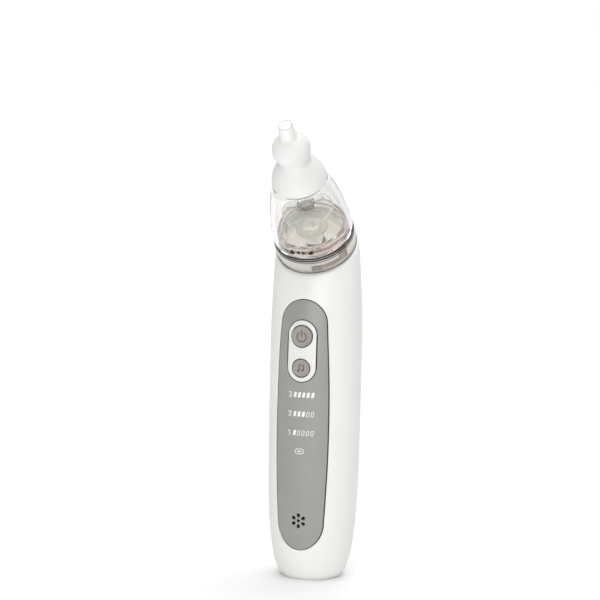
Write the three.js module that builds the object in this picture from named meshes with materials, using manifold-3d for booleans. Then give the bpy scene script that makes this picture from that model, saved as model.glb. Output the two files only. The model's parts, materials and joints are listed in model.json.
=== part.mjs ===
// Handheld electric nasal aspirator: a round white handle that stands on its flat base, a clear
// collecting cup locked onto the handle's tilted mouth, and a soft silicone nose tip on the cup.
// Millimetres. +Z is up, -Y is the front (the side with the buttons), and the origin is the
// centre of the flat base.

import * as THREE from 'three';
import { mergeVertices } from 'three/addons/utils/BufferGeometryUtils.js';
import Module from 'manifold-3d';

const wasm = await Module();
wasm.setup();

const { degToRad } = THREE.MathUtils;
const HALF_TURN = Math.PI;
const TURN = 2 * Math.PI;

// ---------------------------------------------------------------------------------------------
// Driving dimensions
// ---------------------------------------------------------------------------------------------

const GAP = 0.3; // clearance between a piece and the piece it rests on
const SMALL_SIDES = 8;
const MEDIUM_SIDES = 14;
const ROUND_SIDES = 24;
const BODY_SIDES = 32;
const BEYOND = 30; // farther from the handle's axis than its surface, for tools that cut through it

// Handle: round in section, necked in to the base, its top bent towards the front
const BODY_RADIUS = 20.15;
const NECK_IN = 6.2;
const NECK_IN_LENGTH = 14.5;
const BASE_CORNER = 1.45;
const BASE_CORNER_LENGTH = 1.8;
const WALL = 2.4;
const BEND_START = 100;
const MOUTH = new THREE.Vector3(0, -2.16, 146.4);
const MOUTH_TILT = degToRad(40.2);
const MOUTH_RADIUS = 18.5;
const LIP_RADIUS = 17.95;
const LIP_HEIGHT = 0.6;
const MOUTH_HOLE_RADIUS = 14.2;
const SPLIT_Y = 4; // plane where the front and rear shells meet
const BODY_LEVELS = [2, 6, 12, 20, 34, 58, BEND_START, 115, 126, 137];
const EXHAUST_SLOTS = { x: [-3, 0, 3], halfWidth: 0.6, low: 126, high: 132 };

// Screws that hold the shells together, driven in from the rear
const SHELL_SCREWS = [
  { x: -8.5, z: 8.6 },
  { x: 8.5, z: 8.6 },
  { x: -11.5, z: 133 },
  { x: 11.5, z: 133 },
];
const SCREW = { head: 2, headLength: 1.4, shaft: 0.95, length: 10 };
const SCREW_SEAT_Y = 8;
const SCREW_HOLE_RADIUS = SCREW.shaft + GAP;
const BOSS_RADIUS = 2.7;
const BOSS_REACH = 18;

// Control panel, bezel and buttons on the front
const PANEL_TOP = { z: 114, halfWidth: 10.2, height: 10.3 };
const PANEL_BOTTOM = { z: 26.8, halfWidth: 10.3, height: 12.4 };
const PANEL_BOW = 13.15;
const PANEL_THICKNESS = 1.1;
const PANEL_INSET = 0.05;
const PANEL_FIT = 0.25; // clearance round the panel and round the bezel
const RECESS_DEPTH = PANEL_THICKNESS + GAP;
const BEZEL = { z: 102.15, halfWidth: 6.4, halfHeight: 13.35, proud: 0.3 };
const POWER = { z: 108.6, radius: 4.55 };
const MUSIC = { z: 94.8, radius: 3.8 };
const BUTTON_TOP = BODY_RADIUS + 0.5; // in front of the handle's axis
const BUTTON_FOOT = 16.5;
const BUTTON_RIM = 0.4;
const INSIDE_FRONT = 14; // in front of the axis, behind the front wall
const LEVEL_LIGHT_Z = [83.1, 74.7, 66.4];
const CHARGE_LIGHT_Z = 58.3;
const LIGHT_HOLE_RADIUS = 1.2;
const SPEAKER_Z = 27.5;
const PETAL_COUNT = 6;
const PETAL_RING_RADIUS = 2.4;
const PETAL_RADIUS = 0.7;

// Cup, in its own frame: origin at the mouth's centre, +Z along the cup's axis
const JOINT_HEIGHT = 9.3; // top of the cup base's flange
const CUP_RADIUS = 17.7;
const CUP_WALL = 1.65;
const SHELF_UNDER = 8; // underside of the ring that joins the skirt to the spigot
const WELL = { inner: 12.3, outer: 13.5, top: 9.5, floor: 4.4, under: 3.2 };
const COLUMN = { width: 6.8, top: 14, bore: 1.6 };
const COLLAR = { radius: 7.3, low: 12, high: 13 };
const SPIGOT = { outer: 15.4, inner: 13.8, top: 14 };
const SEAL_GROOVE = { low: 10.9, high: 12.3, depth: 0.65 };
const SEAL = { radius: 15.35, height: 11.6, half: 0.4, sides: 6 };
const SKIRT_INNER = 16.35;
const DOME_BOTTOM = JOINT_HEIGHT + GAP;
const LEDGE_HEIGHT = 39.1;
const DOME_TAPER = 2; // straight part of the dome's narrowing up to the ledge
const DOME_CURVE = 3.75; // curved part of it, which grows with this power of the height
const DOME_CURVE_POWER = 2.6;
const CROWN = { radius: 9.8, shoulder: 41.6, neck: 8.4, neckHeight: 44.2, top: 46 };
const NOZZLE = { outer: 4.2, bore: 1.9, top: 60.6 };
const DRIP_TUBE = { radius: 2.7, bottom: 26 };
const BAFFLE = { radius: 11.2, height: 23.4, rise: 1.1, thickness: 1.2 };
const BAFFLE_SOCKET = { inner: DRIP_TUBE.radius + GAP, outer: 3.9, top: 27.6 };
const BAFFLE_RIBS = { count: 6, reach: 9.5, halfWidth: 0.4, depth: 1.3 };

// Bayonet: lugs inside the cup base's skirt ride in grooves round the handle's neck
const NECK_RADIUS = 16;
const NECK_INNER = 13.8;
const NECK_TOP = 7.6;
const NECK_FLOOR = 1.6;
const NECK_PLUG = { outer: 12.3, inner: 10.4, bottom: -4.6 };
const NECK_NIPPLE = { outer: 1.6, bore: 0.9, bottom: -9 };
const PORT_SEAL = { outer: 4.4, inner: 2.6, low: 1.9, high: 2.9 };
const AIR_FILTER = { radius: 2.3, low: 1.9, high: 2.9 };
const LUG_COUNT = 3;
const LUG_ANGLE = 17.5; // degrees from the front to the first lug when the cup is locked
const LUG_HALF_ANGLE = 7.5;
const LUG_LOW = 1.3;
const LUG_HIGH = 3.3;
const LUG_PLAY = 0.4;
const TWIST_ANGLE = 45;
const GROOVE_DEPTH = 1.2;

// Silicone tip, in the cup's frame
const BELL = { edge: 39.4, centre: 38.4, radius: 12, height: 14.6 };
const BALL = { centre: 57.1, radius: 8.25, height: 7.45 };
const WAIST = { height: 51.4, radius: 6.6 };
const TIP = { top: 70.6, radius: 3.05, root: 63.6, bore: 2.4 };
const TIP_WALL = 1.35;

// Drive unit inside the handle, from the battery up to the pump's hoses
const PUMP_Y = 3.5;
const BATTERY = { radius: 7, length: 48, z: 22, y: 4, capRadius: 2.6, capHeight: 1 };
const MOTOR = { radius: 11.2, length: 25, z: 73, wall: 1.5, shaft: 1, bore: 1.3 };
const MOTOR_CAP = { radius: 9.3, thickness: 2 };
const MOTOR_SLEEVE = { thickness: 0.9, low: 82, high: 89 };
const ECCENTRIC = { radius: 5, low: 101, high: 105 };
const CRANK_PIN = { offset: 2.4, radius: 0.7, length: 5, lean: degToRad(22), sunk: 1.4 };
const PUMP = { radius: 11.4, z: 98.6, height: 14, wall: 1.8, floor: 1.6, bore: 2.2 };
const WOBBLE = { arms: 3, reach: 7.6, halfWidth: 1.6, low: 110, high: 111.4 };
const WOBBLE_BOSS = { radius: 3.6, bore: 2.9, bottom: 106 };
const DIAPHRAGM_CUP = { radius: 3, distance: 5.4, low: 111.7, high: 113.5 };
const VALVE_Z = 115;
const VALVE_PORT_RADIUS = 0.8;
const COVER = { z: 117, side: 2.4, height: 3.4, bevel: 1 };
const NIPPLE = { x: 4.6, outer: 1.6, bore: 0.9, top: 124.5 };
const HOSE = { outer: 2.9, inner: 2.05 };
const MUFFLER = { halfWidth: 7, front: 8.7, back: 13.1, low: 126, high: 133 };

// Electronics and the cradle that holds them
const BOARD = { halfWidth: 8.5, bottom: 50, top: 117, front: -13.2, back: -12.2 };
const BOARD_SCREW_Z = [53, 88.6];
const BOARD_SCREW = { radius: 0.65, head: 1.7, tip: 10, seat: 13.5, top: 14.5 };
const SWITCH = { half: 3, height: 1.9, plunger: 1.6, plungerTop: 2.2 };
const LIGHT = { halfWidth: 1, halfHeight: 0.8, depth: 1 };
const SPINE = { halfWidth: 8.5, front: -10.6, back: -9.4, bottom: 22.4 };
const RIB_HEIGHT = 2;
const BATTERY_RIBS = { z: [30, 48, 64], halfWidth: 11.5, back: 1 };
const MOTOR_RIBS = { z: [78, 93], halfWidth: 14, back: 0 };
const POST_RADIUS = 2;
const PORT = { z: 16, width: 8.9, height: 3.2, front: 9.2, back: 17.6, wall: 0.35 };
const CHARGE_BOARD = { halfWidth: 7, front: 5, back: 12.4, thickness: 1 };
const WIRE_RADIUS = 0.45;
const WIRES = {
  battery_wire_plus: [
    [3.6, 4, 70.6], [8.5, -1, 71.6], [11.6, -7, 70], [10.2, -11.2, 68], [6, -11.4, 66],
  ],
  battery_wire_minus: [
    [-4, 4, 21], [-9, 0, 20.6], [-13.4, -4, 28], [-13.4, -6, 42], [-11, -11.4, 53], [-6, -11.4, 56],
  ],
  motor_wire_plus: [[5, 1, 72.3], [10.4, -5.5, 72.2], [11.6, -10.4, 74], [6.8, -11.4, 75]],
  motor_wire_minus: [[-5, 1, 72.3], [-10.4, -5.5, 72.2], [-11.6, -10.4, 74], [-6.8, -11.4, 75]],
  speaker_wire_plus: [[5.6, -12.3, 29], [6.6, -11.6, 38], [5, -11.4, 46], [4, -11.4, 52]],
  speaker_wire_minus: [[-5.6, -12.3, 29], [-6.6, -11.6, 38], [-5, -11.4, 46], [-4, -11.4, 52]],
  charge_wire_plus: [
    [6, 6, 14.9], [10.6, 1, 19], [13.6, -4, 30], [13.6, -6, 46], [10.6, -11, 56], [6, -11.4, 59],
  ],
  charge_wire_minus: [
    [-6, 6, 14.9], [-10, 3.4, 18], [-13.8, -1, 30], [-14, -4, 48], [-11, -11, 62], [-6, -11.4, 65],
  ],
};

// ---------------------------------------------------------------------------------------------
// Geometry helpers
// ---------------------------------------------------------------------------------------------

function welded(geometry) {
  const bare = geometry.clone();
  bare.deleteAttribute('normal');
  bare.deleteAttribute('uv');
  const merged = mergeVertices(bare);
  const faces = [];
  for (let i = 0; i < merged.index.count; i += 3) {
    const [a, b, c] = [0, 1, 2].map((k) => merged.index.getX(i + k));
    if (a !== b && b !== c && c !== a) faces.push(a, b, c);
  }
  merged.setIndex(faces);
  return merged;
}

function signedVolume(geometry) {
  const position = geometry.attributes.position;
  const [a, b, c] = [new THREE.Vector3(), new THREE.Vector3(), new THREE.Vector3()];
  let volume = 0;
  for (let i = 0; i < geometry.index.count; i += 3) {
    a.fromBufferAttribute(position, geometry.index.getX(i));
    b.fromBufferAttribute(position, geometry.index.getX(i + 1));
    c.fromBufferAttribute(position, geometry.index.getX(i + 2));
    volume += a.dot(b.cross(c)) / 6;
  }
  return volume;
}

// A welded copy whose faces all point out of the solid
function closed(geometry) {
  const solid = welded(geometry);
  if (signedVolume(solid) < 0) {
    const flipped = Array.from(solid.index.array).reverse();
    solid.setIndex(flipped);
  }
  return solid;
}

function toManifold(geometry) {
  const solid = closed(geometry);
  return new wasm.Manifold(new wasm.Mesh({
    numProp: 3,
    vertProperties: Float32Array.from(solid.attributes.position.array),
    triVerts: Uint32Array.from(solid.index.array),
  }));
}

function fromManifold(manifold) {
  const mesh = manifold.getMesh();
  const geometry = new THREE.BufferGeometry();
  const corners = new THREE.BufferAttribute(Float32Array.from(mesh.vertProperties), 3);
  geometry.setAttribute('position', corners);
  geometry.setIndex(Array.from(mesh.triVerts));
  return geometry;
}

function join(first, ...others) {
  return fromManifold(others.reduce((sum, other) => sum.add(toManifold(other)), toManifold(first)));
}

function cut(first, ...tools) {
  return fromManifold(tools.reduce((rest, tool) => rest.subtract(toManifold(tool)), toManifold(first)));
}

function common(first, second) {
  return fromManifold(toManifold(first).intersect(toManifold(second)));
}

// Solid turned about Z from [radius, height] pairs that start and end on the axis
function turned(outline, sides = MEDIUM_SIDES) {
  const points = outline.map(([radius, height]) => new THREE.Vector2(radius, height));
  return closed(new THREE.LatheGeometry(points, sides).rotateX(Math.PI / 2));
}

// Hollow ring turned about Z from a loop of [radius, height] pairs
function ring(outline, sides = MEDIUM_SIDES) {
  return turned([...outline, outline[0]], sides);
}

function disc(radius, low, high, sides = MEDIUM_SIDES) {
  return turned([[0, low], [radius, low], [radius, high], [0, high]], sides);
}

function block(xSpan, ySpan, zSpan) {
  const spans = [xSpan, ySpan, zSpan];
  const size = spans.map(([low, high]) => high - low);
  const middle = spans.map(([low, high]) => (high + low) / 2);
  return new THREE.BoxGeometry(...size).translate(...middle);
}

// Turns a solid made about Z so that its +Z points forward, along -Y, at height z
function facingFront(geometry, x, z) {
  return geometry.clone().rotateX(Math.PI / 2).translate(x, 0, z);
}

// Extrudes an (x, z) outline towards the front, from the middle plane out past the handle
function extrudedForward(shape) {
  const options = { depth: BEYOND, bevelEnabled: false, curveSegments: 8 };
  return new THREE.ExtrudeGeometry(shape, options).rotateX(Math.PI / 2);
}

function circle(radius) {
  return new THREE.Shape().absarc(0, 0, radius, 0, TURN, false);
}

function evenAngles(count) {
  return Array.from({ length: count }, (_, i) => (i / count) * TURN);
}

// Part of a flat ring about Z, between two angles in degrees counted from the front towards +X
function sector(inner, outer, from, to, low, high) {
  const start = degToRad(from - 90);
  const end = degToRad(to - 90);
  const shape = new THREE.Shape();
  shape.absarc(0, 0, outer, start, end, false);
  shape.absarc(0, 0, inner, end, start, true);
  shape.closePath();
  const options = { depth: high - low, bevelEnabled: false, curveSegments: 6 };
  return new THREE.ExtrudeGeometry(shape, options).translate(0, 0, low);
}

// Round tube or wire along a smooth route
function routed(shape, points, steps, curveSegments) {
  const route = new THREE.CatmullRomCurve3(points.map((point) => new THREE.Vector3(...point)));
  const options = { extrudePath: route, steps, bevelEnabled: false, curveSegments };
  return new THREE.ExtrudeGeometry(shape, options);
}

// ---------------------------------------------------------------------------------------------
// Materials
// ---------------------------------------------------------------------------------------------

function surface(color, roughness, metalness = 0) {
  return new THREE.MeshStandardMaterial({ color, roughness, metalness });
}

function clearSurface(color, roughness, opacity) {
  return new THREE.MeshStandardMaterial({ color, roughness, opacity, transparent: true });
}

const whitePlastic = () => surface('#f4f4f2', 0.3);
const creamPlastic = () => surface('#e9e7df', 0.4);
const greyPlastic = () => surface('#a0a09b', 0.45);
const warmSilicone = () => surface('#aaa096', 0.6);
const clearPlastic = () => clearSurface('#eef0ee', 0.08, 0.35);
const frostedSilicone = () => clearSurface('#f2f3ee', 0.5, 0.9);
const blackRubber = () => surface('#2a2a2c', 0.7);
const darkPlastic = () => surface('#3a3b3e', 0.5);
const steel = () => surface('#b9bcc0', 0.3, 1);
const greenBoard = () => surface('#1d5c3a', 0.5);

// ---------------------------------------------------------------------------------------------
// Handle shells
// ---------------------------------------------------------------------------------------------

// How far height z lies along the bent part of the handle, from 0 at its start to 1 at the mouth
function bendAmount(z) {
  return Math.max(0, (z - BEND_START) / (MOUTH.z - BEND_START));
}

// Radius of the straightened handle at height z
function bodyRadius(z) {
  if (z > BEND_START) {
    return BODY_RADIUS - (BODY_RADIUS - MOUTH_RADIUS) * bendAmount(z) ** 2;
  }
  const height = Math.max(z, 0);
  const neckIn = NECK_IN * Math.exp(-height / NECK_IN_LENGTH);
  const corner = BASE_CORNER * Math.exp(-height / BASE_CORNER_LENGTH);
  return BODY_RADIUS - neckIn - corner;
}

// Tilts each section above the bend a little more than the one below it, up to the mouth's tilt
function bendTop(geometry) {
  const position = geometry.attributes.position;
  for (let i = 0; i < position.count; i += 1) {
    const y = position.getY(i);
    const z = position.getZ(i);
    const along = bendAmount(z);
    const forward = along ** 2 * (y * (1 - Math.cos(MOUTH_TILT)) - MOUTH.y);
    position.setY(i, y - forward);
    position.setZ(i, z + along * y * Math.sin(MOUTH_TILT));
  }
  return geometry;
}

// The handle's solid shape, with its surface moved inwards by inset
function bodySolid(inset, bottom, top, lip = []) {
  const levels = [bottom, ...BODY_LEVELS.filter((z) => z > bottom && z < top), top];
  const side = levels.map((z) => [bodyRadius(z) - inset, z]);
  const highest = lip.length > 0 ? lip[lip.length - 1][1] : top;
  return bendTop(turned([[0, bottom], ...side, ...lip, [0, highest]], BODY_SIDES));
}

// Places a solid made in the cup's frame
function inCupFrame(geometry) {
  return geometry.clone().rotateX(MOUTH_TILT).translate(MOUTH.x, MOUTH.y, MOUTH.z);
}

function panelShape(grow) {
  const top = { x: PANEL_TOP.halfWidth + grow, height: PANEL_TOP.height + grow };
  const low = { x: PANEL_BOTTOM.halfWidth + grow, height: PANEL_BOTTOM.height + grow };
  const middle = (PANEL_TOP.z + PANEL_BOTTOM.z) / 2;
  const bow = PANEL_BOW + grow;
  const shape = new THREE.Shape();
  shape.absellipse(0, PANEL_TOP.z, top.x, top.height, 0, HALF_TURN, false, 0);
  shape.quadraticCurveTo(-bow, middle, -low.x, PANEL_BOTTOM.z);
  shape.absellipse(0, PANEL_BOTTOM.z, low.x, low.height, HALF_TURN, TURN, false, 0);
  shape.quadraticCurveTo(bow, middle, top.x, PANEL_TOP.z);
  return shape;
}

function bezelShape(grow) {
  const straight = BEZEL.halfHeight - BEZEL.halfWidth;
  const round = BEZEL.halfWidth + grow;
  const shape = new THREE.Shape();
  shape.absarc(0, BEZEL.z + straight, round, 0, HALF_TURN, false);
  shape.absarc(0, BEZEL.z - straight, round, HALF_TURN, TURN, false);
  shape.closePath();
  return shape;
}

function roundHoleInFront(radius, x, z, sides = SMALL_SIDES) {
  return facingFront(disc(radius, INSIDE_FRONT, BEYOND, sides), x, z);
}

function buttonHoles() {
  return [POWER, MUSIC].map(({ z, radius }) => roundHoleInFront(radius + GAP, 0, z, MEDIUM_SIDES));
}

function speakerHoles() {
  const petals = evenAngles(PETAL_COUNT).map((angle) => {
    const x = PETAL_RING_RADIUS * Math.sin(angle);
    const z = SPEAKER_Z + PETAL_RING_RADIUS * Math.cos(angle);
    return roundHoleInFront(PETAL_RADIUS, x, z);
  });
  return [roundHoleInFront(PETAL_RADIUS, 0, SPEAKER_Z), ...petals];
}

// A rod along Y at one screw's place, from y = back down to y = front
function rodAtScrew({ x, z }, radius, front, back) {
  return facingFront(disc(radius, -back, -front, SMALL_SIDES), x, z);
}

function hollowBody() {
  const lip = [[LIP_RADIUS, MOUTH.z]];
  const outside = bodySolid(0, 0, MOUTH.z - LIP_HEIGHT, lip);
  const inside = bodySolid(WALL, WALL, MOUTH.z - WALL);
  const mouthHole = inCupFrame(disc(MOUTH_HOLE_RADIUS, -6, 2, ROUND_SIDES));
  return cut(outside, inside, mouthHole);
}

function screwBosses(front, back) {
  const inside = bodySolid(0.6, 0.6, MOUTH.z - WALL);
  const rods = SHELL_SCREWS.map((place) => rodAtScrew(place, BOSS_RADIUS, front, back));
  return common(join(...rods), inside);
}

function frontShell(body) {
  const edge = SPLIT_Y - GAP / 2;
  const half = common(body, block([-BEYOND, BEYOND], [-BEYOND, edge], [-BEYOND, 2 * MOUTH.z]));
  const shell = join(half, screwBosses(-BOSS_REACH, edge));
  const recess = cut(extrudedForward(panelShape(PANEL_FIT)), bodySolid(RECESS_DEPTH, -5, MOUTH.z));
  const pilots = SHELL_SCREWS.map((place) => rodAtScrew(place, SCREW_HOLE_RADIUS, -4.5, edge + 1));
  const lightHoles = [...LEVEL_LIGHT_Z, CHARGE_LIGHT_Z].map((z) => (
    roundHoleInFront(LIGHT_HOLE_RADIUS, 0, z)
  ));
  return cut(shell, recess, ...pilots, ...buttonHoles(), ...lightHoles, ...speakerHoles());
}

// A rod with the charging socket's rounded outline, its sides moved outwards by grow
function portRod(grow, front, back) {
  const round = PORT.height / 2 + grow;
  const straight = (PORT.width - PORT.height) / 2;
  const shape = new THREE.Shape();
  shape.absarc(straight, 0, round, -HALF_TURN / 2, HALF_TURN / 2, false);
  shape.absarc(-straight, 0, round, HALF_TURN / 2, 1.5 * HALF_TURN, false);
  shape.closePath();
  const options = { depth: back - front, bevelEnabled: false, curveSegments: 6 };
  const rod = new THREE.ExtrudeGeometry(shape, options);
  return rod.rotateX(Math.PI / 2).translate(0, back, PORT.z);
}

function exhaustSlots() {
  const { halfWidth, low, high } = EXHAUST_SLOTS;
  return EXHAUST_SLOTS.x.map((x) => block([x - halfWidth, x + halfWidth], [12, BEYOND], [low, high]));
}

function rearShell(body) {
  const edge = SPLIT_Y + GAP / 2;
  const half = common(body, block([-BEYOND, BEYOND], [edge, BEYOND], [-BEYOND, 2 * MOUTH.z]));
  const shell = join(half, screwBosses(edge, BOSS_REACH));
  const screwHoles = SHELL_SCREWS.map((place) => (
    rodAtScrew(place, SCREW_HOLE_RADIUS, 0, SCREW_SEAT_Y + 1)
  ));
  const headHoles = SHELL_SCREWS.map((place) => (
    rodAtScrew(place, SCREW.head + GAP, SCREW_SEAT_Y, BEYOND)
  ));
  return cut(shell, ...screwHoles, ...headHoles, portRod(0.4, 10, BEYOND), ...exhaustSlots());
}

// A layer that follows the handle's surface, from depth outer down to depth inner
function surfaceLayer(shape, outer, inner) {
  const layer = cut(bodySolid(outer, 5, MOUTH.z - 4), bodySolid(inner, 3, MOUTH.z));
  return common(extrudedForward(shape), layer);
}

function controlPanel() {
  const plate = surfaceLayer(panelShape(0), PANEL_INSET, PANEL_THICKNESS);
  return cut(plate, extrudedForward(bezelShape(PANEL_FIT)), ...speakerHoles());
}

function buttonBezel() {
  return cut(surfaceLayer(bezelShape(0), -BEZEL.proud, PANEL_THICKNESS), ...buttonHoles());
}

// Push button with a rounded rim, its face just proud of the bezel
function pushButton({ z, radius }) {
  const outline = [
    [0, BUTTON_FOOT],
    [radius, BUTTON_FOOT],
    [radius, BUTTON_TOP - BUTTON_RIM],
    [radius - BUTTON_RIM, BUTTON_TOP],
    [0, BUTTON_TOP],
  ];
  return facingFront(turned(outline), 0, z);
}

function shellScrew(place) {
  const underHead = -SCREW_SEAT_Y - GAP;
  const outline = [
    [0, underHead - SCREW.headLength],
    [SCREW.head, underHead - SCREW.headLength],
    [SCREW.head, underHead],
    [SCREW.shaft, underHead],
    [SCREW.shaft, underHead + SCREW.length],
    [0, underHead + SCREW.length],
  ];
  return facingFront(turned(outline, SMALL_SIDES), place.x, place.z);
}

// ---------------------------------------------------------------------------------------------
// Handle mouth: bayonet neck, seal and filter, in the cup's frame
// ---------------------------------------------------------------------------------------------

// Middles of the lugs when the cup is locked, in degrees from the front
function lugAngles() {
  return Array.from({ length: LUG_COUNT }, (_, i) => LUG_ANGLE + (360 / LUG_COUNT) * i);
}

// L-shaped groove: a run that the lug twists along and an entry that opens upwards
function bayonetGroove(lug) {
  const inner = NECK_RADIUS - GROOVE_DEPTH;
  const outer = NECK_RADIUS + 1;
  const slack = LUG_HALF_ANGLE + 1;
  const open = lug + TWIST_ANGLE;
  return [
    sector(inner, outer, lug - slack, open + slack, LUG_LOW - LUG_PLAY, LUG_HIGH + LUG_PLAY),
    sector(inner, outer, open - slack, open + slack, LUG_HIGH, NECK_TOP + 1),
  ];
}

function bayonetNeck() {
  const bevel = 0.4;
  const outline = [
    [NECK_NIPPLE.bore, NECK_NIPPLE.bottom],
    [NECK_NIPPLE.outer, NECK_NIPPLE.bottom],
    [NECK_NIPPLE.outer, GAP],
    [NECK_PLUG.inner, GAP],
    [NECK_PLUG.inner, NECK_PLUG.bottom],
    [NECK_PLUG.outer, NECK_PLUG.bottom],
    [NECK_PLUG.outer, GAP],
    [NECK_RADIUS, GAP],
    [NECK_RADIUS, NECK_TOP - bevel],
    [NECK_RADIUS - bevel, NECK_TOP],
    [NECK_INNER, NECK_TOP],
    [NECK_INNER, NECK_FLOOR],
    [NECK_NIPPLE.bore, NECK_FLOOR],
  ];
  return cut(ring(outline, ROUND_SIDES), ...lugAngles().flatMap(bayonetGroove));
}

// Soft ring that seals the neck's air port against the floor of the cup's well
function portSeal() {
  const { inner, outer, low, high } = PORT_SEAL;
  return ring([[inner, low], [outer, low], [outer, high], [inner, high]]);
}

function airFilter() {
  return disc(AIR_FILTER.radius, AIR_FILTER.low, AIR_FILTER.high);
}

// ---------------------------------------------------------------------------------------------
// Collecting cup, in the cup's frame
// ---------------------------------------------------------------------------------------------

function bayonetLug(middle) {
  const inner = NECK_RADIUS - GROOVE_DEPTH + GAP;
  const outer = SKIRT_INNER + 0.5;
  return sector(inner, outer, middle - LUG_HALF_ANGLE, middle + LUG_HALF_ANGLE, LUG_LOW, LUG_HIGH);
}

function cupBase() {
  const groove = CUP_RADIUS - 0.4;
  const sealSeat = SPIGOT.outer - SEAL_GROOVE.depth;
  const bevel = 0.3;
  const outline = [
    [SPIGOT.inner, SHELF_UNDER],
    [SKIRT_INNER, SHELF_UNDER],
    [SKIRT_INNER, 0.4],
    [groove, 0.4],
    [CUP_RADIUS - 0.1, 1],
    [CUP_RADIUS - 0.1, 6.3],
    [groove, 6.5],
    [CUP_RADIUS, 6.9],
    [CUP_RADIUS, 7.7],
    [groove, 8],
    [CUP_RADIUS, 8.3],
    [CUP_RADIUS, JOINT_HEIGHT],
    [SPIGOT.outer, JOINT_HEIGHT],
    [SPIGOT.outer, SEAL_GROOVE.low],
    [sealSeat, SEAL_GROOVE.low],
    [sealSeat, SEAL_GROOVE.high],
    [SPIGOT.outer, SEAL_GROOVE.high],
    [SPIGOT.outer, SPIGOT.top - bevel],
    [SPIGOT.outer - bevel, SPIGOT.top],
    [SPIGOT.inner, SPIGOT.top],
  ];
  return join(ring(outline, ROUND_SIDES), ...lugAngles().map(bayonetLug));
}

// Round bowl inside the cup base that holds the collected liquid
function cupWell() {
  const outline = [
    [COLUMN.bore, WELL.under],
    [WELL.outer, WELL.under],
    [WELL.outer, WELL.top],
    [WELL.inner, WELL.top],
    [WELL.inner, WELL.floor],
    [COLUMN.bore, WELL.floor],
  ];
  return ring(outline, ROUND_SIDES);
}

// Square post in the middle of the well that draws air from above the liquid, with a collar
// that keeps splashes off its mouth
function airColumn() {
  const half = COLUMN.width / 2;
  const foot = WELL.floor + GAP;
  const post = block([-half, half], [-half, half], [foot, COLUMN.top]);
  const collar = disc(COLLAR.radius, COLLAR.low, COLLAR.high);
  const bore = disc(COLUMN.bore, foot - 1, COLUMN.top + 1, SMALL_SIDES);
  return cut(join(post, collar), bore);
}

// O-ring in the groove round the cup base's spigot
function domeSeal() {
  const outline = evenAngles(SEAL.sides).map((angle) => [
    SEAL.radius + SEAL.half * Math.cos(angle),
    SEAL.height + SEAL.half * Math.sin(angle),
  ]);
  return ring(outline, ROUND_SIDES);
}

// Outer radius of the dome from its open edge up to the ledge under the silicone bell
function domeRadius(height) {
  const along = (height - DOME_BOTTOM) / (LEDGE_HEIGHT - DOME_BOTTOM);
  return CUP_RADIUS - DOME_TAPER * along - DOME_CURVE * along ** DOME_CURVE_POWER;
}

function cupDome() {
  const steps = 6;
  const outside = [];
  for (let i = 0; i <= steps; i += 1) {
    const height = DOME_BOTTOM + ((LEDGE_HEIGHT - DOME_BOTTOM) * i) / steps;
    outside.push([domeRadius(height), height]);
  }
  const inside = outside.slice(0, -1).map(([radius, height]) => [radius - CUP_WALL, height]);
  const crown = [
    [CROWN.radius, LEDGE_HEIGHT],
    [CROWN.radius, CROWN.shoulder],
    [CROWN.neck, CROWN.neckHeight],
    [NOZZLE.outer, CROWN.top],
    [NOZZLE.outer, NOZZLE.top - 0.4],
    [NOZZLE.outer - 0.4, NOZZLE.top],
    [NOZZLE.bore, NOZZLE.top],
  ];
  const tube = [
    [NOZZLE.bore, DRIP_TUBE.bottom],
    [DRIP_TUBE.radius, DRIP_TUBE.bottom],
    [DRIP_TUBE.radius, 42.4],
    [7, 42.4],
    [8.2, 40.4],
    [8.4, 38.6],
  ];
  return ring([...outside, ...crown, ...tube, ...inside.reverse()], ROUND_SIDES);
}

// Umbrella disc that hangs on the drip tube and keeps liquid off the air column
function dripBaffle() {
  const rimUnder = BAFFLE.height - BAFFLE.thickness;
  const middle = BAFFLE.height + BAFFLE.rise;
  const outline = [
    [0, middle - BAFFLE.thickness],
    [BAFFLE_SOCKET.outer, middle - BAFFLE.thickness],
    [BAFFLE.radius, rimUnder],
    [BAFFLE.radius, BAFFLE.height],
    [BAFFLE_SOCKET.outer, middle],
    [BAFFLE_SOCKET.outer, BAFFLE_SOCKET.top],
    [BAFFLE_SOCKET.inner, BAFFLE_SOCKET.top],
    [BAFFLE_SOCKET.inner, middle],
    [0, middle],
  ];
  const { reach, halfWidth, depth } = BAFFLE_RIBS;
  const ribSpan = [rimUnder - depth, rimUnder + 0.6];
  const ribs = evenAngles(BAFFLE_RIBS.count).map((angle) => (
    block([0, reach], [-halfWidth, halfWidth], ribSpan).rotateZ(angle)
  ));
  const window = [middle + 0.1, middle + 1.2];
  const across = block([-5, 5], [-1, 1], window);
  const along = block([-1, 1], [-5, 5], window);
  return cut(join(turned(outline, ROUND_SIDES), ...ribs), across, along);
}

// Points of half an ellipse of revolution between two heights
function bulge({ centre, radius, height }, from, to, steps) {
  const points = [];
  for (let i = 0; i <= steps; i += 1) {
    const level = from + ((to - from) * i) / steps;
    const offset = (level - centre) / height;
    points.push([radius * Math.sqrt(1 - offset * offset), level]);
  }
  return points;
}

// The same bulge with its surface moved inwards by the tip's wall
function hollowOf({ centre, radius, height }) {
  return { centre, radius: radius - TIP_WALL, height: height - TIP_WALL };
}

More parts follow.
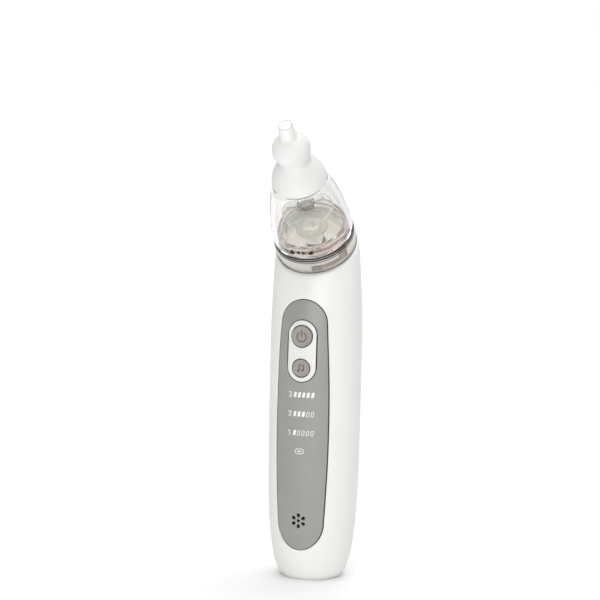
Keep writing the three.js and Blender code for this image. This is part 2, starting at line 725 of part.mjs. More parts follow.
function siliconeTip() {
  const outside = [
    [BELL.radius - 0.6, BELL.edge],
    ...bulge(BELL, BELL.edge + 0.6, WAIST.height - 1.6, 4),
    [WAIST.radius, WAIST.height],
    ...bulge(BALL, WAIST.height + 1.4, TIP.root, 5),
    [TIP.radius, TIP.top - 0.2],
    [TIP.radius - 0.2, TIP.top],
  ];
  const inside = [
    [TIP.bore, TIP.top],
    [TIP.bore, TIP.root - 1],
    ...bulge(hollowOf(BALL), TIP.root - 1.6, WAIST.height + 1.6, 4),
    [WAIST.radius - TIP_WALL, WAIST.height],
    ...bulge(hollowOf(BELL), WAIST.height - 2, BELL.edge, 3),
  ];
  return ring([...outside, ...inside], ROUND_SIDES - 4);
}

// ---------------------------------------------------------------------------------------------
// Drive unit: battery, motor and diaphragm pump
// ---------------------------------------------------------------------------------------------

function atPump(geometry) {
  return geometry.clone().translate(0, PUMP_Y, 0);
}

function batteryCell() {
  const top = BATTERY.z + BATTERY.length;
  const shoulder = top - BATTERY.capHeight;
  const outline = [
    [0, BATTERY.z],
    [BATTERY.radius, BATTERY.z],
    [BATTERY.radius, shoulder],
    [BATTERY.capRadius, shoulder],
    [BATTERY.capRadius, top],
    [0, top],
  ];
  return turned(outline).translate(0, BATTERY.y, 0);
}

// Steel can, open below for the end cap, with a bore for the shaft
function motorCan() {
  const top = MOTOR.z + MOTOR.length;
  const bevel = 0.6;
  const inside = MOTOR.z + 4;
  const outline = [
    [MOTOR.bore, inside],
    [MOTOR.radius - MOTOR.wall, inside],
    [MOTOR.radius - MOTOR.wall, MOTOR.z],
    [MOTOR.radius, MOTOR.z],
    [MOTOR.radius, top - bevel],
    [MOTOR.radius - bevel, top],
    [MOTOR.bore, top],
  ];
  return atPump(ring(outline));
}

// Brush end cap closing the can's open end
function motorEndCap() {
  return atPump(disc(MOTOR_CAP.radius, MOTOR.z, MOTOR.z + MOTOR_CAP.thickness));
}

// Rubber sleeve that quiets the motor
function motorSleeve() {
  const inner = MOTOR.radius + GAP;
  const outer = inner + MOTOR_SLEEVE.thickness;
  const { low, high } = MOTOR_SLEEVE;
  return atPump(ring([[inner, low], [outer, low], [outer, high], [inner, high]]));
}

// Motor shaft with the pump's eccentric on its end
function motorShaft() {
  const bottom = MOTOR.z + 5;
  const outline = [
    [0, bottom],
    [MOTOR.shaft, bottom],
    [MOTOR.shaft, ECCENTRIC.low],
    [ECCENTRIC.radius, ECCENTRIC.low],
    [ECCENTRIC.radius, ECCENTRIC.high],
    [0, ECCENTRIC.high],
  ];
  const holeRadius = CRANK_PIN.radius + 0.8;
  const pinHole = disc(holeRadius, ECCENTRIC.high - 2, ECCENTRIC.high + 5, SMALL_SIDES);
  return atPump(cut(turned(outline), pinHole.translate(CRANK_PIN.offset - 0.2, 0, 0)));
}

// Steel pin that leans in towards the shaft's axis and tilts the wobble plate
function crankPin() {
  const pin = disc(CRANK_PIN.radius, 0, CRANK_PIN.length, SMALL_SIDES).rotateY(-CRANK_PIN.lean);
  return atPump(pin.translate(CRANK_PIN.offset, 0, ECCENTRIC.high - CRANK_PIN.sunk));
}

function pumpHousing() {
  const inner = PUMP.radius - PUMP.wall;
  const floor = PUMP.z + PUMP.floor;
  const top = PUMP.z + PUMP.height;
  return atPump(ring([
    [PUMP.bore, PUMP.z],
    [PUMP.radius, PUMP.z],
    [PUMP.radius, top],
    [inner, top],
    [inner, floor],
    [PUMP.bore, floor],
  ]));
}

// Three-armed plate that the crank pin wobbles; its socket is wide enough for the pin's circle
function wobblePlate() {
  const { reach, halfWidth, low, high } = WOBBLE;
  const arms = evenAngles(WOBBLE.arms).map((angle) => (
    block([0, reach], [-halfWidth, halfWidth], [low, high]).rotateZ(angle)
  ));
  const boss = disc(WOBBLE_BOSS.radius, WOBBLE_BOSS.bottom, high);
  const socket = disc(WOBBLE_BOSS.bore, WOBBLE_BOSS.bottom - 1, low);
  return atPump(cut(join(boss, ...arms), socket));
}

// Rubber sheet with three cups hanging over the wobble plate's arms
function diaphragm() {
  const { radius, distance, low, high } = DIAPHRAGM_CUP;
  const sheet = disc(PUMP.radius, PUMP.z + PUMP.height + GAP, VALVE_Z - GAP);
  const cups = evenAngles(WOBBLE.arms).map((angle) => (
    disc(radius, low, high, SMALL_SIDES).translate(distance, 0, 0).rotateZ(angle)
  ));
  return atPump(join(sheet, ...cups));
}

function valvePlate() {
  const plate = disc(PUMP.radius, VALVE_Z, COVER.z - GAP);
  const port = disc(VALVE_PORT_RADIUS, VALVE_Z - 1, COVER.z + 1, SMALL_SIDES);
  const ports = [-NIPPLE.x, 0, NIPPLE.x].map((x) => port.clone().translate(x, 0, 0));
  return atPump(cut(plate, ...ports));
}

// Cover with an inlet nipple at +X and an outlet nipple at -X
function pumpCover() {
  const outline = [
    [0, COVER.z],
    [PUMP.radius, COVER.z],
    [PUMP.radius, COVER.z + COVER.side],
    [PUMP.radius - COVER.bevel, COVER.z + COVER.height],
    [0, COVER.z + COVER.height],
  ];
  const nipple = disc(NIPPLE.outer, COVER.z + 2, NIPPLE.top, SMALL_SIDES);
  const bore = disc(NIPPLE.bore, COVER.z - 1, NIPPLE.top + 1, SMALL_SIDES);
  const bothSides = (solid) => [NIPPLE.x, -NIPPLE.x].map((x) => solid.clone().translate(x, 0, 0));
  return atPump(cut(join(turned(outline), ...bothSides(nipple)), ...bothSides(bore)));
}

function hose(route, steps) {
  const section = circle(HOSE.outer);
  section.holes.push(new THREE.Path().absarc(0, 0, HOSE.inner, 0, TURN, true));
  return routed(section, route, steps, 4);
}

// Hose from the pump's inlet nipple to the nipple under the bayonet neck
function suctionHose() {
  const along = new THREE.Vector3(0, -Math.sin(MOUTH_TILT), Math.cos(MOUTH_TILT));
  const onNeck = [-10.5, -8, -4].map((height) => (
    MOUTH.clone().addScaledVector(along, height).toArray()
  ));
  const route = [
    [NIPPLE.x, PUMP_Y, COVER.z + 4],
    [NIPPLE.x, PUMP_Y, NIPPLE.top + 0.5],
    [NIPPLE.x * 0.6, PUMP_Y + 0.8, NIPPLE.top + 6.5],
    ...onNeck,
  ];
  return hose(route, 12);
}

// Short hose from the pump's outlet nipple to the foam muffler behind the rear slots
function exhaustHose() {
  const route = [
    [-NIPPLE.x, PUMP_Y, COVER.z + 4],
    [-NIPPLE.x, PUMP_Y, NIPPLE.top + 0.5],
    [-NIPPLE.x, PUMP_Y + 1.5, NIPPLE.top + 4],
    [-NIPPLE.x, PUMP_Y + 4.4, NIPPLE.top + 4.6],
  ];
  return hose(route, 8);
}

function exhaustMuffler() {
  const { halfWidth, front, back, low, high } = MUFFLER;
  return block([-halfWidth, halfWidth], [front, back], [low, high]);
}

// ---------------------------------------------------------------------------------------------
// Electronics and their cradle
// ---------------------------------------------------------------------------------------------

// Ribs that reach back from the cradle's spine at several heights
function cradleRibs({ z, halfWidth, back }) {
  return z.map((low) => (
    block([-halfWidth, halfWidth], [SPINE.back - 0.5, back], [low, low + RIB_HEIGHT])
  ));
}

// Holes or posts along Y where the board's screws are
function rodsAtBoardScrews(radius, back, front) {
  return BOARD_SCREW_Z.map((z) => facingFront(disc(radius, back, front, SMALL_SIDES), 0, z));
}

// Cradle between the circuit board and the battery and motor
function innerChassis() {
  const { halfWidth, front, back, bottom } = SPINE;
  const spine = block([-halfWidth, halfWidth], [front, back], [bottom, BOARD.top]);
  const posts = rodsAtBoardScrews(POST_RADIUS, -front - 0.5, -BOARD.back - 0.2);
  const frame = join(spine, ...cradleRibs(BATTERY_RIBS), ...cradleRibs(MOTOR_RIBS), ...posts);
  const batterySpace = disc(BATTERY.radius + GAP, 20, MOTOR.z - 1).translate(0, BATTERY.y, 0);
  const motorSpace = atPump(disc(MOTOR.radius + GAP, MOTOR.z - 1, VALVE_Z + 5));
  const screwHoles = rodsAtBoardScrews(BOARD_SCREW.radius + 0.25, 9, 14);
  return cut(frame, batterySpace, motorSpace, ...screwHoles);
}

function mainBoard() {
  const { halfWidth, bottom, top, front, back } = BOARD;
  const board = block([-halfWidth, halfWidth], [front, back], [bottom, top]);
  return cut(board, ...rodsAtBoardScrews(BOARD_SCREW.radius + 0.45, 11, 15));
}

function boardScrew(z) {
  const { radius, head, tip, seat, top } = BOARD_SCREW;
  const outline = [[0, tip], [radius, tip], [radius, seat], [head, seat], [head, top], [0, top]];
  return facingFront(turned(outline, SMALL_SIDES), 0, z);
}

function tactSwitch({ z }) {
  const base = -BOARD.front + GAP;
  const { half, height, plunger, plungerTop } = SWITCH;
  const body = block([-half, half], [-base - height, -base], [z - half, z + half]);
  const stem = disc(plunger, base + 1, base + plungerTop, SMALL_SIDES);
  return join(body, facingFront(stem, 0, z));
}

function boardLight(z) {
  const base = BOARD.front - GAP;
  const { halfWidth, halfHeight, depth } = LIGHT;
  return block([-halfWidth, halfWidth], [base - depth, base], [z - halfHeight, z + halfHeight]);
}

// Round speaker: a magnet, a wider basket and a shallow cone
function speaker() {
  const magnet = { radius: 4.5, back: 11.2, front: 13 };
  const basket = { radius: 6.9, inner: 5.8, front: 15 };
  const cone = { radius: 5.4, front: 14.4 };
  const outline = [
    [0, magnet.back],
    [magnet.radius, magnet.back],
    [magnet.radius, magnet.front],
    [basket.radius, magnet.front],
    [basket.radius, basket.front],
    [basket.inner, basket.front],
    [cone.radius, cone.front],
    [0, cone.front],
  ];
  return facingFront(turned(outline), 0, SPEAKER_Z);
}

function speakerGasket() {
  return facingFront(ring([[3.9, 15.3], [5, 15.3], [5, 15.7], [3.9, 15.7]]), 0, SPEAKER_Z);
}

// Rounded metal shell of the charging socket, open at the back of the handle, with its tongue
function chargingPort() {
  const outside = portRod(0, PORT.front, PORT.back);
  const inside = portRod(-PORT.wall, PORT.front + 1, PORT.back + 1);
  const half = PORT.wall;
  const tongue = block([-3, 3], [PORT.front + 0.5, PORT.back - 1], [PORT.z - half, PORT.z + half]);
  return join(cut(outside, inside), tongue);
}

function chargeBoard() {
  const top = PORT.z - PORT.height / 2 - GAP;
  const { halfWidth, front, back, thickness } = CHARGE_BOARD;
  return block([-halfWidth, halfWidth], [front, back], [top - thickness, top]);
}

// ---------------------------------------------------------------------------------------------
// Assembly
// ---------------------------------------------------------------------------------------------

const aspirator = new THREE.Group();
const handle = new THREE.Group();
const cup = new THREE.Group();
cup.position.copy(MOUTH);
cup.rotation.x = MOUTH_TILT;
aspirator.add(handle, cup);

function add(group, name, geometry, material) {
  const mesh = new THREE.Mesh(closed(geometry), material);
  mesh.name = name;
  group.add(mesh);
}

const body = hollowBody();
add(handle, 'front_shell', frontShell(body), whitePlastic());
add(handle, 'rear_shell', rearShell(body), whitePlastic());
add(handle, 'control_panel', controlPanel(), greyPlastic());
add(handle, 'button_bezel', buttonBezel(), whitePlastic());
add(handle, 'power_button', pushButton(POWER), warmSilicone());
add(handle, 'music_button', pushButton(MUSIC), warmSilicone());
SHELL_SCREWS.forEach((place, i) => {
  add(handle, `shell_screw_${i + 1}`, shellScrew(place), steel());
});

add(handle, 'main_board', mainBoard(), greenBoard());
add(handle, 'power_switch', tactSwitch(POWER), darkPlastic());
add(handle, 'music_switch', tactSwitch(MUSIC), darkPlastic());
LEVEL_LIGHT_Z.forEach((z, i) => {
  add(handle, `level_light_${LEVEL_LIGHT_Z.length - i}`, boardLight(z), surface('#f6f4e8', 0.3));
});
add(handle, 'charge_light', boardLight(CHARGE_LIGHT_Z), surface('#e8f4e8', 0.3));
BOARD_SCREW_Z.forEach((z, i) => {
  add(handle, `board_screw_${i + 1}`, boardScrew(z), steel());
});
add(handle, 'speaker', speaker(), darkPlastic());
add(handle, 'speaker_gasket', speakerGasket(), blackRubber());
add(handle, 'charging_port', chargingPort(), steel());
add(handle, 'charge_board', chargeBoard(), greenBoard());

add(handle, 'inner_chassis', innerChassis(), surface('#dededa', 0.5));
add(handle, 'battery_cell', batteryCell(), surface('#3c6fb0', 0.4));
add(handle, 'motor_can', motorCan(), steel());
add(handle, 'motor_end_cap', motorEndCap(), darkPlastic());
add(handle, 'motor_sleeve', motorSleeve(), blackRubber());
add(handle, 'motor_shaft', motorShaft(), steel());
add(handle, 'crank_pin', crankPin(), steel());
add(handle, 'pump_housing', pumpHousing(), darkPlastic());
add(handle, 'wobble_plate', wobblePlate(), creamPlastic());
add(handle, 'diaphragm', diaphragm(), blackRubber());
add(handle, 'valve_plate', valvePlate(), creamPlastic());
add(handle, 'pump_cover', pumpCover(), darkPlastic());
add(handle, 'suction_hose', suctionHose(), frostedSilicone());
add(handle, 'exhaust_hose', exhaustHose(), frostedSilicone());
add(handle, 'exhaust_muffler', exhaustMuffler(), surface('#4a4a4a', 0.95));
for (const [name, route] of Object.entries(WIRES)) {
  const colour = name.endsWith('plus') ? '#b8342c' : '#26262a';
  add(handle, name, routed(circle(WIRE_RADIUS), route, 10, 3), surface(colour, 0.5));
}

add(cup, 'bayonet_neck', bayonetNeck(), whitePlastic());
add(cup, 'port_seal', portSeal(), warmSilicone());
add(cup, 'air_filter', airFilter(), surface('#ecebe4', 0.95));
add(cup, 'cup_base', cupBase(), clearPlastic());
add(cup, 'cup_well', cupWell(), clearPlastic());
add(cup, 'air_column', airColumn(), clearPlastic());
add(cup, 'dome_seal', domeSeal(), clearSurface('#e3c9c4', 0.3, 0.8));
add(cup, 'cup_dome', cupDome(), clearPlastic());
add(cup, 'drip_baffle', dripBaffle(), clearPlastic());
add(cup, 'silicone_tip', siliconeTip(), frostedSilicone());

export default aspirator;
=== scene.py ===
import json
import math

import bmesh
import bpy
from mathutils import Matrix, Vector

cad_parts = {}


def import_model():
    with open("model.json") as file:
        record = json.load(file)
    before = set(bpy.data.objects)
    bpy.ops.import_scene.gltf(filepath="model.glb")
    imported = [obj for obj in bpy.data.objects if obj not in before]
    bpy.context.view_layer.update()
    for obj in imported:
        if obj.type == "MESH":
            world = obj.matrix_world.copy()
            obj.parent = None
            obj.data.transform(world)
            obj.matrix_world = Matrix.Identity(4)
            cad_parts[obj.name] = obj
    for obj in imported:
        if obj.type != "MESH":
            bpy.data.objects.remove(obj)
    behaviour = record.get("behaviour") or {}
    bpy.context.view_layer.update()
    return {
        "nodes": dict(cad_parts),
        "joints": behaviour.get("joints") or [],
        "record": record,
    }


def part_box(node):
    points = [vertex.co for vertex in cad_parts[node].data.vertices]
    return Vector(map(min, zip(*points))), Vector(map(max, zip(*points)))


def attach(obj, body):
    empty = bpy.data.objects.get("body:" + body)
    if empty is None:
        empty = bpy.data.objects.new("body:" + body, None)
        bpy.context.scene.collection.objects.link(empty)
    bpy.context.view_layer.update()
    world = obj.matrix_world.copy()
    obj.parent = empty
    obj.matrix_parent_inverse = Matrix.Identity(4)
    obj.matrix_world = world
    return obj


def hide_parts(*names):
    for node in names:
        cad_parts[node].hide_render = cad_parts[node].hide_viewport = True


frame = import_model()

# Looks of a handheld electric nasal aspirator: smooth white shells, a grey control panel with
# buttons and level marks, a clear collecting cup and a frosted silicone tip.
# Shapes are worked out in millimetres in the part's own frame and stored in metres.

MM = 0.001
joints = {joint["name"]: joint for joint in frame["joints"]}

# ---- Sizes, in millimetres ----

GAP = 0.3
MOUTH = Vector(joints["cup_twist"]["pos_m"]) / MM
CUP_AXIS = Vector(joints["cup_twist"]["axis"])
TILT = math.atan2(-CUP_AXIS.y, CUP_AXIS.z)
TO_CUP = Matrix.Translation(MOUTH) @ Matrix.Rotation(TILT, 4, "X")

BODY_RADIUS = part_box("front_shell")[1].x / MM
NECK_IN = 6.2
NECK_IN_LENGTH = 14.5
BASE_CORNER = 1.45
BASE_CORNER_LENGTH = 1.8
WALL = 2.4
BEND_START = 100
MOUTH_RADIUS = 18.5
LIP_RADIUS = 17.95
LIP_HEIGHT = 0.6
MOUTH_HOLE_RADIUS = 14.2
SPLIT_Y = 4

PANEL_TOP = {"z": 114, "half_width": 10.2, "height": 10.3}
PANEL_BOTTOM = {"z": 26.8, "half_width": 10.3, "height": 12.4}
PANEL_BOW = 13.15
PANEL_THICKNESS = 1.1
RECESS_DEPTH = PANEL_THICKNESS + GAP
PANEL_INSET = 0.05
BEZEL = {"z": 102.15, "half_width": 6.4, "half_height": 13.35, "proud": 0.3}
POWER = {"z": 108.6, "radius": 4.55}
MUSIC = {"z": 94.8, "radius": 3.8}
BUTTON_TOP = BODY_RADIUS + 0.5
BUTTON_FOOT = 16.5
LEVEL_Z = {3: 83.1, 2: 74.7, 1: 66.4}
CHARGE_Z = 58.3
SPEAKER_Z = 27.5
PETALS = 6

JOINT_HEIGHT = 9.3
DOME_BOTTOM = JOINT_HEIGHT + GAP
LEDGE_HEIGHT = 39.1
CUP_RADIUS = 17.7
CUP_WALL = 1.65
LUG_ANGLES = [17.5, 137.5, 257.5]
LUG_HALF_ANGLE = 7.5
TWIST_ANGLE = joints["cup_twist"]["range_deg"][1]
NECK_RADIUS = 16
NECK_INNER = 13.8
NECK_TOP = 7.6
NECK_FLOOR = 1.6
GROOVE_DEPTH = 1.2
AIR_PORT = {"bore": 0.9, "outer": 1.6, "foot": -9}
NECK_COLLAR = {"inner": 10.4, "outer": 12.3, "foot": -4.6}
FRONT_CUT = (14, 26)
AIR_BORE = 1.6
WELL = {"inner": 12.3, "outer": 13.5, "top": 9.5, "floor": 4.4, "under": 3.2}
SKIRT = {"inner": 16.35, "foot": 0.4, "shelf": 8}
SPIGOT = {"inner": 13.8, "outer": 15.4, "groove": 14.75, "top": 14}
COLUMN = {"half": 3.4, "corner": 0.9, "foot": 4.7, "top": 14}
COLLAR = {"radius": 7.3, "low": 12, "high": 13}
PORT_SEAL = {"inner": 2.6, "outer": 4.4, "low": 1.9, "high": 2.9}
DOME_SEAL = {"radius": 15.35, "height": 11.6, "thickness": 0.4}
TUBE = {"bore": 1.9, "lower": 2.7, "upper": 4.2, "foot": 26, "top": 60.6}
BAFFLE = {"radius": 11.2, "sleeve": 3.9, "bore": 3, "crown": 24.5, "top": 27.6}
BAFFLE_RIBS = {"count": 6, "reach": 9.5, "half_width": 0.4, "low": 20.9, "high": 22.8}


# ---- Mesh helpers ----

def to_object(name, bm, smooth_angle=35):
    """Turns a bmesh in millimetres into a scene object in metres, with smooth faces."""
    bmesh.ops.recalc_face_normals(bm, faces=bm.faces)
    bmesh.ops.scale(bm, vec=(MM, MM, MM), verts=bm.verts)
    mesh = bpy.data.meshes.new(name)
    bm.to_mesh(mesh)
    bm.free()
    obj = bpy.data.objects.new(name, mesh)
    bpy.context.scene.collection.objects.link(obj)
    shade(obj, smooth_angle)
    return obj


def shade(obj, smooth_angle=35):
    obj.data.shade_smooth()
    obj.data.set_sharp_from_angle(angle=math.radians(smooth_angle))


def carve(target, cutters, operation="DIFFERENCE", smooth_angle=35):
    """Cuts, joins or intersects target with each of the cutters, which are used up."""
    for cutter in cutters:
        step = target.modifiers.new("cut", "BOOLEAN")
        step.object = cutter
        step.operation = operation
        step.solver = "MANIFOLD"
    graph = bpy.context.evaluated_depsgraph_get()
    mesh = bpy.data.meshes.new_from_object(target.evaluated_get(graph))
    target.modifiers.clear()
    target.data = mesh
    for cutter in cutters:
        bpy.data.objects.remove(cutter)
    shade(target, smooth_angle)
    return target


def loft(rings, close_ends=True):
    """A bmesh through rings of points, each ring closed on itself; the end rings are capped."""
    bm = bmesh.new()
    rows = [[bm.verts.new(point) for point in ring] for ring in rings]
    for low, high in zip(rows, rows[1:]):
        for i in range(len(low)):
            j = (i + 1) % len(low)
            bm.faces.new((low[i], low[j], high[j], high[i]))
    if close_ends:
        bm.faces.new(rows[0])
        bm.faces.new(rows[-1])
    return bm


def rounded(corners, steps=5):
    """Outline from [radius, height, fillet] corners, each fillet drawn as a curve."""
    points = []
    last = len(corners) - 1
    for i, (x, y, fillet) in enumerate(corners):
        here = Vector((x, y))
        if fillet == 0 or i in (0, last):
            points.append(here)
            continue
        before = Vector(corners[i - 1][:2]) - here
        after = Vector(corners[i + 1][:2]) - here
        reach = min(fillet, before.length * 0.49, after.length * 0.49)
        start = here + before.normalized() * reach
        end = here + after.normalized() * reach
        for k in range(steps + 1):
            t = k / steps
            points.append(start * (1 - t) ** 2 + here * (2 * t * (1 - t)) + end * t ** 2)
    return points


def turned(outline, sides=128, place=Matrix.Identity(4)):
    """A bmesh turned about Z. The outline starts and ends on the axis, or it closes on itself."""
    bm = bmesh.new()
    on_axis = abs(outline[0][0]) < 1e-6
    rows = []
    for radius, height in outline:
        if radius < 1e-6:
            rows.append([bm.verts.new(place @ Vector((0, 0, height)))])
            continue
        row = []
        for i in range(sides):
            angle = 2 * math.pi * i / sides
            point = Vector((radius * math.cos(angle), radius * math.sin(angle), height))
            row.append(bm.verts.new(place @ point))
        rows.append(row)
    pairs = list(zip(rows, rows[1:]))
    if not on_axis:
        pairs.append((rows[-1], rows[0]))
    for low, high in pairs:
        for i in range(sides):
            j = (i + 1) % sides
            corners = [low[i % len(low)], low[j % len(low)], high[j % len(high)], high[i % len(high)]]
            unique = list(dict.fromkeys(corners))
            if len(unique) > 2:
                bm.faces.new(unique)
    return bm


def turned_object(name, outline, sides=128, place=Matrix.Identity(4), smooth_angle=35):
    return to_object(name, turned(outline, sides, place), smooth_angle)


def cylinder(radius, low, high, sides=64, place=Matrix.Identity(4)):
    return turned_object("tool", [(0, low), (radius, low), (radius, high), (0, high)], sides, place)


def facing_front(z, x=0):
    """Places a piece made about Z so that its +Z points to the front, at height z."""
    return Matrix.Translation((x, 0, z)) @ Matrix.Rotation(math.pi / 2, 4, "X")


def block(low, high, place=Matrix.Identity(4)):
    """A box-shaped cutting tool."""
    bm = bmesh.new()
    corners = [
        place @ Vector((x, y, z))
        for z in (low[2], high[2])
        for x, y in ((low[0], low[1]), (high[0], low[1]), (high[0], high[1]), (low[0], high[1]))
    ]
    verts = [bm.verts.new(corner) for corner in corners]
    for i in range(4):
        j = (i + 1) % 4
        bm.faces.new((verts[i], verts[j], verts[j + 4], verts[i + 4]))
    bm.faces.new(verts[:4])
    bm.faces.new(verts[4:])
    return to_object("tool", bm)


def sector(inner, outer, start, end, low, high, place=Matrix.Identity(4)):
    """Part of a flat ring about Z, between two angles in degrees from the front towards +X."""
    count = max(4, round(abs(end - start) / 3))
    outline = []
    for radius, angles in ((outer, range(count + 1)), (inner, range(count, -1, -1))):
        for i in angles:
            angle = math.radians(start + (end - start) * i / count - 90)
            outline.append((radius * math.cos(angle), radius * math.sin(angle)))
    rings = [[place @ Vector((x, y, height)) for x, y in outline] for height in (low, high)]
    return to_object("tool", loft(rings))


def paint(obj, main, special, chosen, place=TO_CUP):
    """Gives a second material to the faces whose centre, in the place's frame, is chosen."""
    if not obj.data.materials or obj.data.materials[0] != main:
        obj.data.materials.clear()
        obj.data.materials.append(main)
    obj.data.materials.append(special)
    last = len(obj.data.materials) - 1
    to_local = place.inverted()
    for face in obj.data.polygons:
        if chosen(to_local @ (face.center / MM)):
            face.material_index = last


def finish_piece(obj, body, material, replaces=()):
    if not obj.data.materials or obj.data.materials[0] != material:
        obj.data.materials.clear()
        obj.data.materials.append(material)
    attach(obj, body)
    if replaces:
        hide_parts(*replaces)
    return obj


# ---- Handle surface ----

def bend_amount(z):
    return max(0.0, (z - BEND_START) / (MOUTH.z - BEND_START))


def body_radius(z):
    """Radius of the straightened handle at height z."""
    if z > BEND_START:
        return BODY_RADIUS - (BODY_RADIUS - MOUTH_RADIUS) * bend_amount(z) ** 2
    height = max(z, 0)
    neck_in = NECK_IN * math.exp(-height / NECK_IN_LENGTH)
    corner = BASE_CORNER * math.exp(-height / BASE_CORNER_LENGTH)
    return BODY_RADIUS - neck_in - corner


def bent(point):
    """Tilts the section that point lies in, a little more the higher it is above the bend."""
    along = bend_amount(point.z)
    forward = along ** 2 * (point.y * (1 - math.cos(TILT)) - MOUTH.y)
    lift = along * point.y * math.sin(TILT)
    return Vector((point.x, point.y - forward, point.z + lift))


def surface_y(x, z, inset):
    """y of the handle's front surface at (x, z), moved inwards by inset."""
    along = 0.0
    for _ in range(12):
        level = BEND_START + along * (MOUTH.z - BEND_START) if z > BEND_START else z
        radius = body_radius(level) - inset
        depth = math.sqrt(max(radius ** 2 - x ** 2, 0))
        if z > BEND_START:
            along = (z - BEND_START) / (MOUTH.z - BEND_START - depth * math.sin(TILT))
    return -depth + along ** 2 * (depth * (1 - math.cos(TILT)) + MOUTH.y)


def body_levels(bottom, top, count):
    """Heights that crowd together towards the base, where the side curves most."""
    return [bottom + (top - bottom) * (i / count) ** 1.6 for i in range(count + 1)]


def body_solid(name, inset, bottom, top, count, sides, lip=()):
    side = [(body_radius(z) - inset, z) for z in body_levels(bottom, top, count)]
    outline = [(0, bottom), *side, *lip]
    outline.append((0, outline[-1][1]))
    bm = turned(outline, sides)
    for vert in bm.verts:
        vert.co = bent(vert.co)
    return to_object(name, bm)


def lip_outline(steps=5):
    """Rounded edge of the handle's mouth."""
    points = []
    for i in range(1, steps + 1):
        angle = math.pi / 2 * i / steps
        radius = LIP_RADIUS + (MOUTH_RADIUS - LIP_RADIUS) * math.cos(angle)
        points.append((radius, MOUTH.z - LIP_HEIGHT + LIP_HEIGHT * math.sin(angle)))
    return points


def half_ellipse(end, half_width, grow, start, count):
    """Points round one end of the panel, over half a turn from the start angle."""
    points = []
    for i in range(count + 1):
        angle = start + math.pi * i / count
        height = (end["height"] + grow) * math.sin(angle)
        points.append((half_width * math.cos(angle), end["z"] + height))
    return points


def panel_outline(grow, count=96):
    """Outline of the control panel as (x, z) points: two half ellipses and two bowed sides."""
    top_x, low_x = PANEL_TOP["half_width"] + grow, PANEL_BOTTOM["half_width"] + grow
    quarter = count // 4
    points = half_ellipse(PANEL_TOP, top_x, grow, 0, quarter)
    points += bowed_side(-1, top_x, low_x, grow, quarter)
    points += half_ellipse(PANEL_BOTTOM, low_x, grow, math.pi, quarter)
    points += reversed(bowed_side(1, top_x, low_x, grow, quarter))
    return points


def bowed_side(side, top_x, low_x, grow, count):
    """Points between the panel's two ends on one side, from the top down."""
    points = []
    for i in range(1, count):
        t = i / count
        x = top_x * (1 - t) ** 2 + (PANEL_BOW + grow) * 2 * t * (1 - t) + low_x * t ** 2
        points.append((side * x, PANEL_TOP["z"] + (PANEL_BOTTOM["z"] - PANEL_TOP["z"]) * t))
    return points


def stadium_outline(grow, count=96):
    """Outline of the button bezel as (x, z) points."""
    radius = BEZEL["half_width"] + grow
    straight = BEZEL["half_height"] - BEZEL["half_width"]
    points = []
    for i in range(count):
        angle = 2 * math.pi * i / count
        shift = straight if i < count / 2 else -straight
        points.append((radius * math.cos(angle), BEZEL["z"] + shift + radius * math.sin(angle)))
    return points


def surface_solid(name, outline, centre_z, rings):
    """A solid whose layers follow the handle. Each ring is (scale, grow, inset)."""
    layers = []
    for scale, grow, inset in rings:
        ring = []
        for x, z in outline(grow):
            px, pz = x * scale, centre_z + (z - centre_z) * scale
            ring.append(Vector((px, surface_y(px, pz, inset), pz)))
        layers.append(ring)
    return to_object(name, loft(layers))


def plate_rings(top, bottom, edge, steps=5, spread=14):
    """Rings of a plate between two insets, with its front edge rounded."""
    scales = [0.02 + 0.98 * i / spread for i in range(spread + 1)]
    rings = [(scale, 0, bottom) for scale in scales]
    for i in range(steps + 1):
        angle = math.pi / 2 * i / steps
        rings.append((1, -edge * (1 - math.cos(angle)), top + edge * (1 - math.sin(angle))))
    rings += [(scale, -edge, top) for scale in reversed(scales[:-1])]
    return rings


def pocket_rings(floor, gap, chamfer, surface, spread=14):
    """Rings of a cutter that sinks a pocket with a small chamfer where it meets the surface."""
    scales = [0.02 + 0.98 * i / spread for i in range(spread + 1)]
    rings = [(scale, gap, floor) for scale in scales]
    rings.append((1, gap, surface + chamfer))
    rings.append((1, gap + chamfer + 0.03, surface - 0.03))
    rings += [(scale, gap + chamfer + 0.03, surface - 2) for scale in reversed(scales)]
    return rings


# ---- Materials ----

def linear(red, green, blue):
    """Colour from screen values of 0 to 255."""
    def channel(value):
        value /= 255
        return value / 12.92 if value <= 0.04045 else ((value + 0.055) / 1.055) ** 2.4
    return (channel(red), channel(green), channel(blue), 1)


def set_inputs(node, **values):
    """Sets a node's inputs by name, with underscores for the spaces in their names."""
    for name, value in values.items():
        node.inputs[name.replace("_", " ")].default_value = value


def add_node(nodes, kind, **values):
    node = nodes.new("ShaderNode" + kind)
    set_inputs(node, **values)
    return node


def new_material(name, **values):
    """A material, its nodes and links, and its main shader with the values set on it."""
    material = bpy.data.materials.new(name)
    material.use_nodes = True
    nodes, links = material.node_tree.nodes, material.node_tree.links
    shader = nodes["Principled BSDF"]
    set_inputs(shader, **values)
    return material, nodes, links, shader


def placed_by_object(nodes, links, texture, **mapping_values):
    """Lays the texture out in the piece's own coordinates, moved by a mapping."""
    coords = add_node(nodes, "TexCoord")
    mapping = add_node(nodes, "Mapping", **mapping_values)
    links.new(coords.outputs["Object"], mapping.inputs["Vector"])
    links.new(mapping.outputs["Vector"], texture.inputs["Vector"])
    return texture


def noise(nodes, links, scale, detail=3, stretch=(1, 1, 1)):
    texture = add_node(nodes, "TexNoise", Scale=scale, Detail=detail)
    return placed_by_object(nodes, links, texture, Scale=stretch).outputs["Fac"]


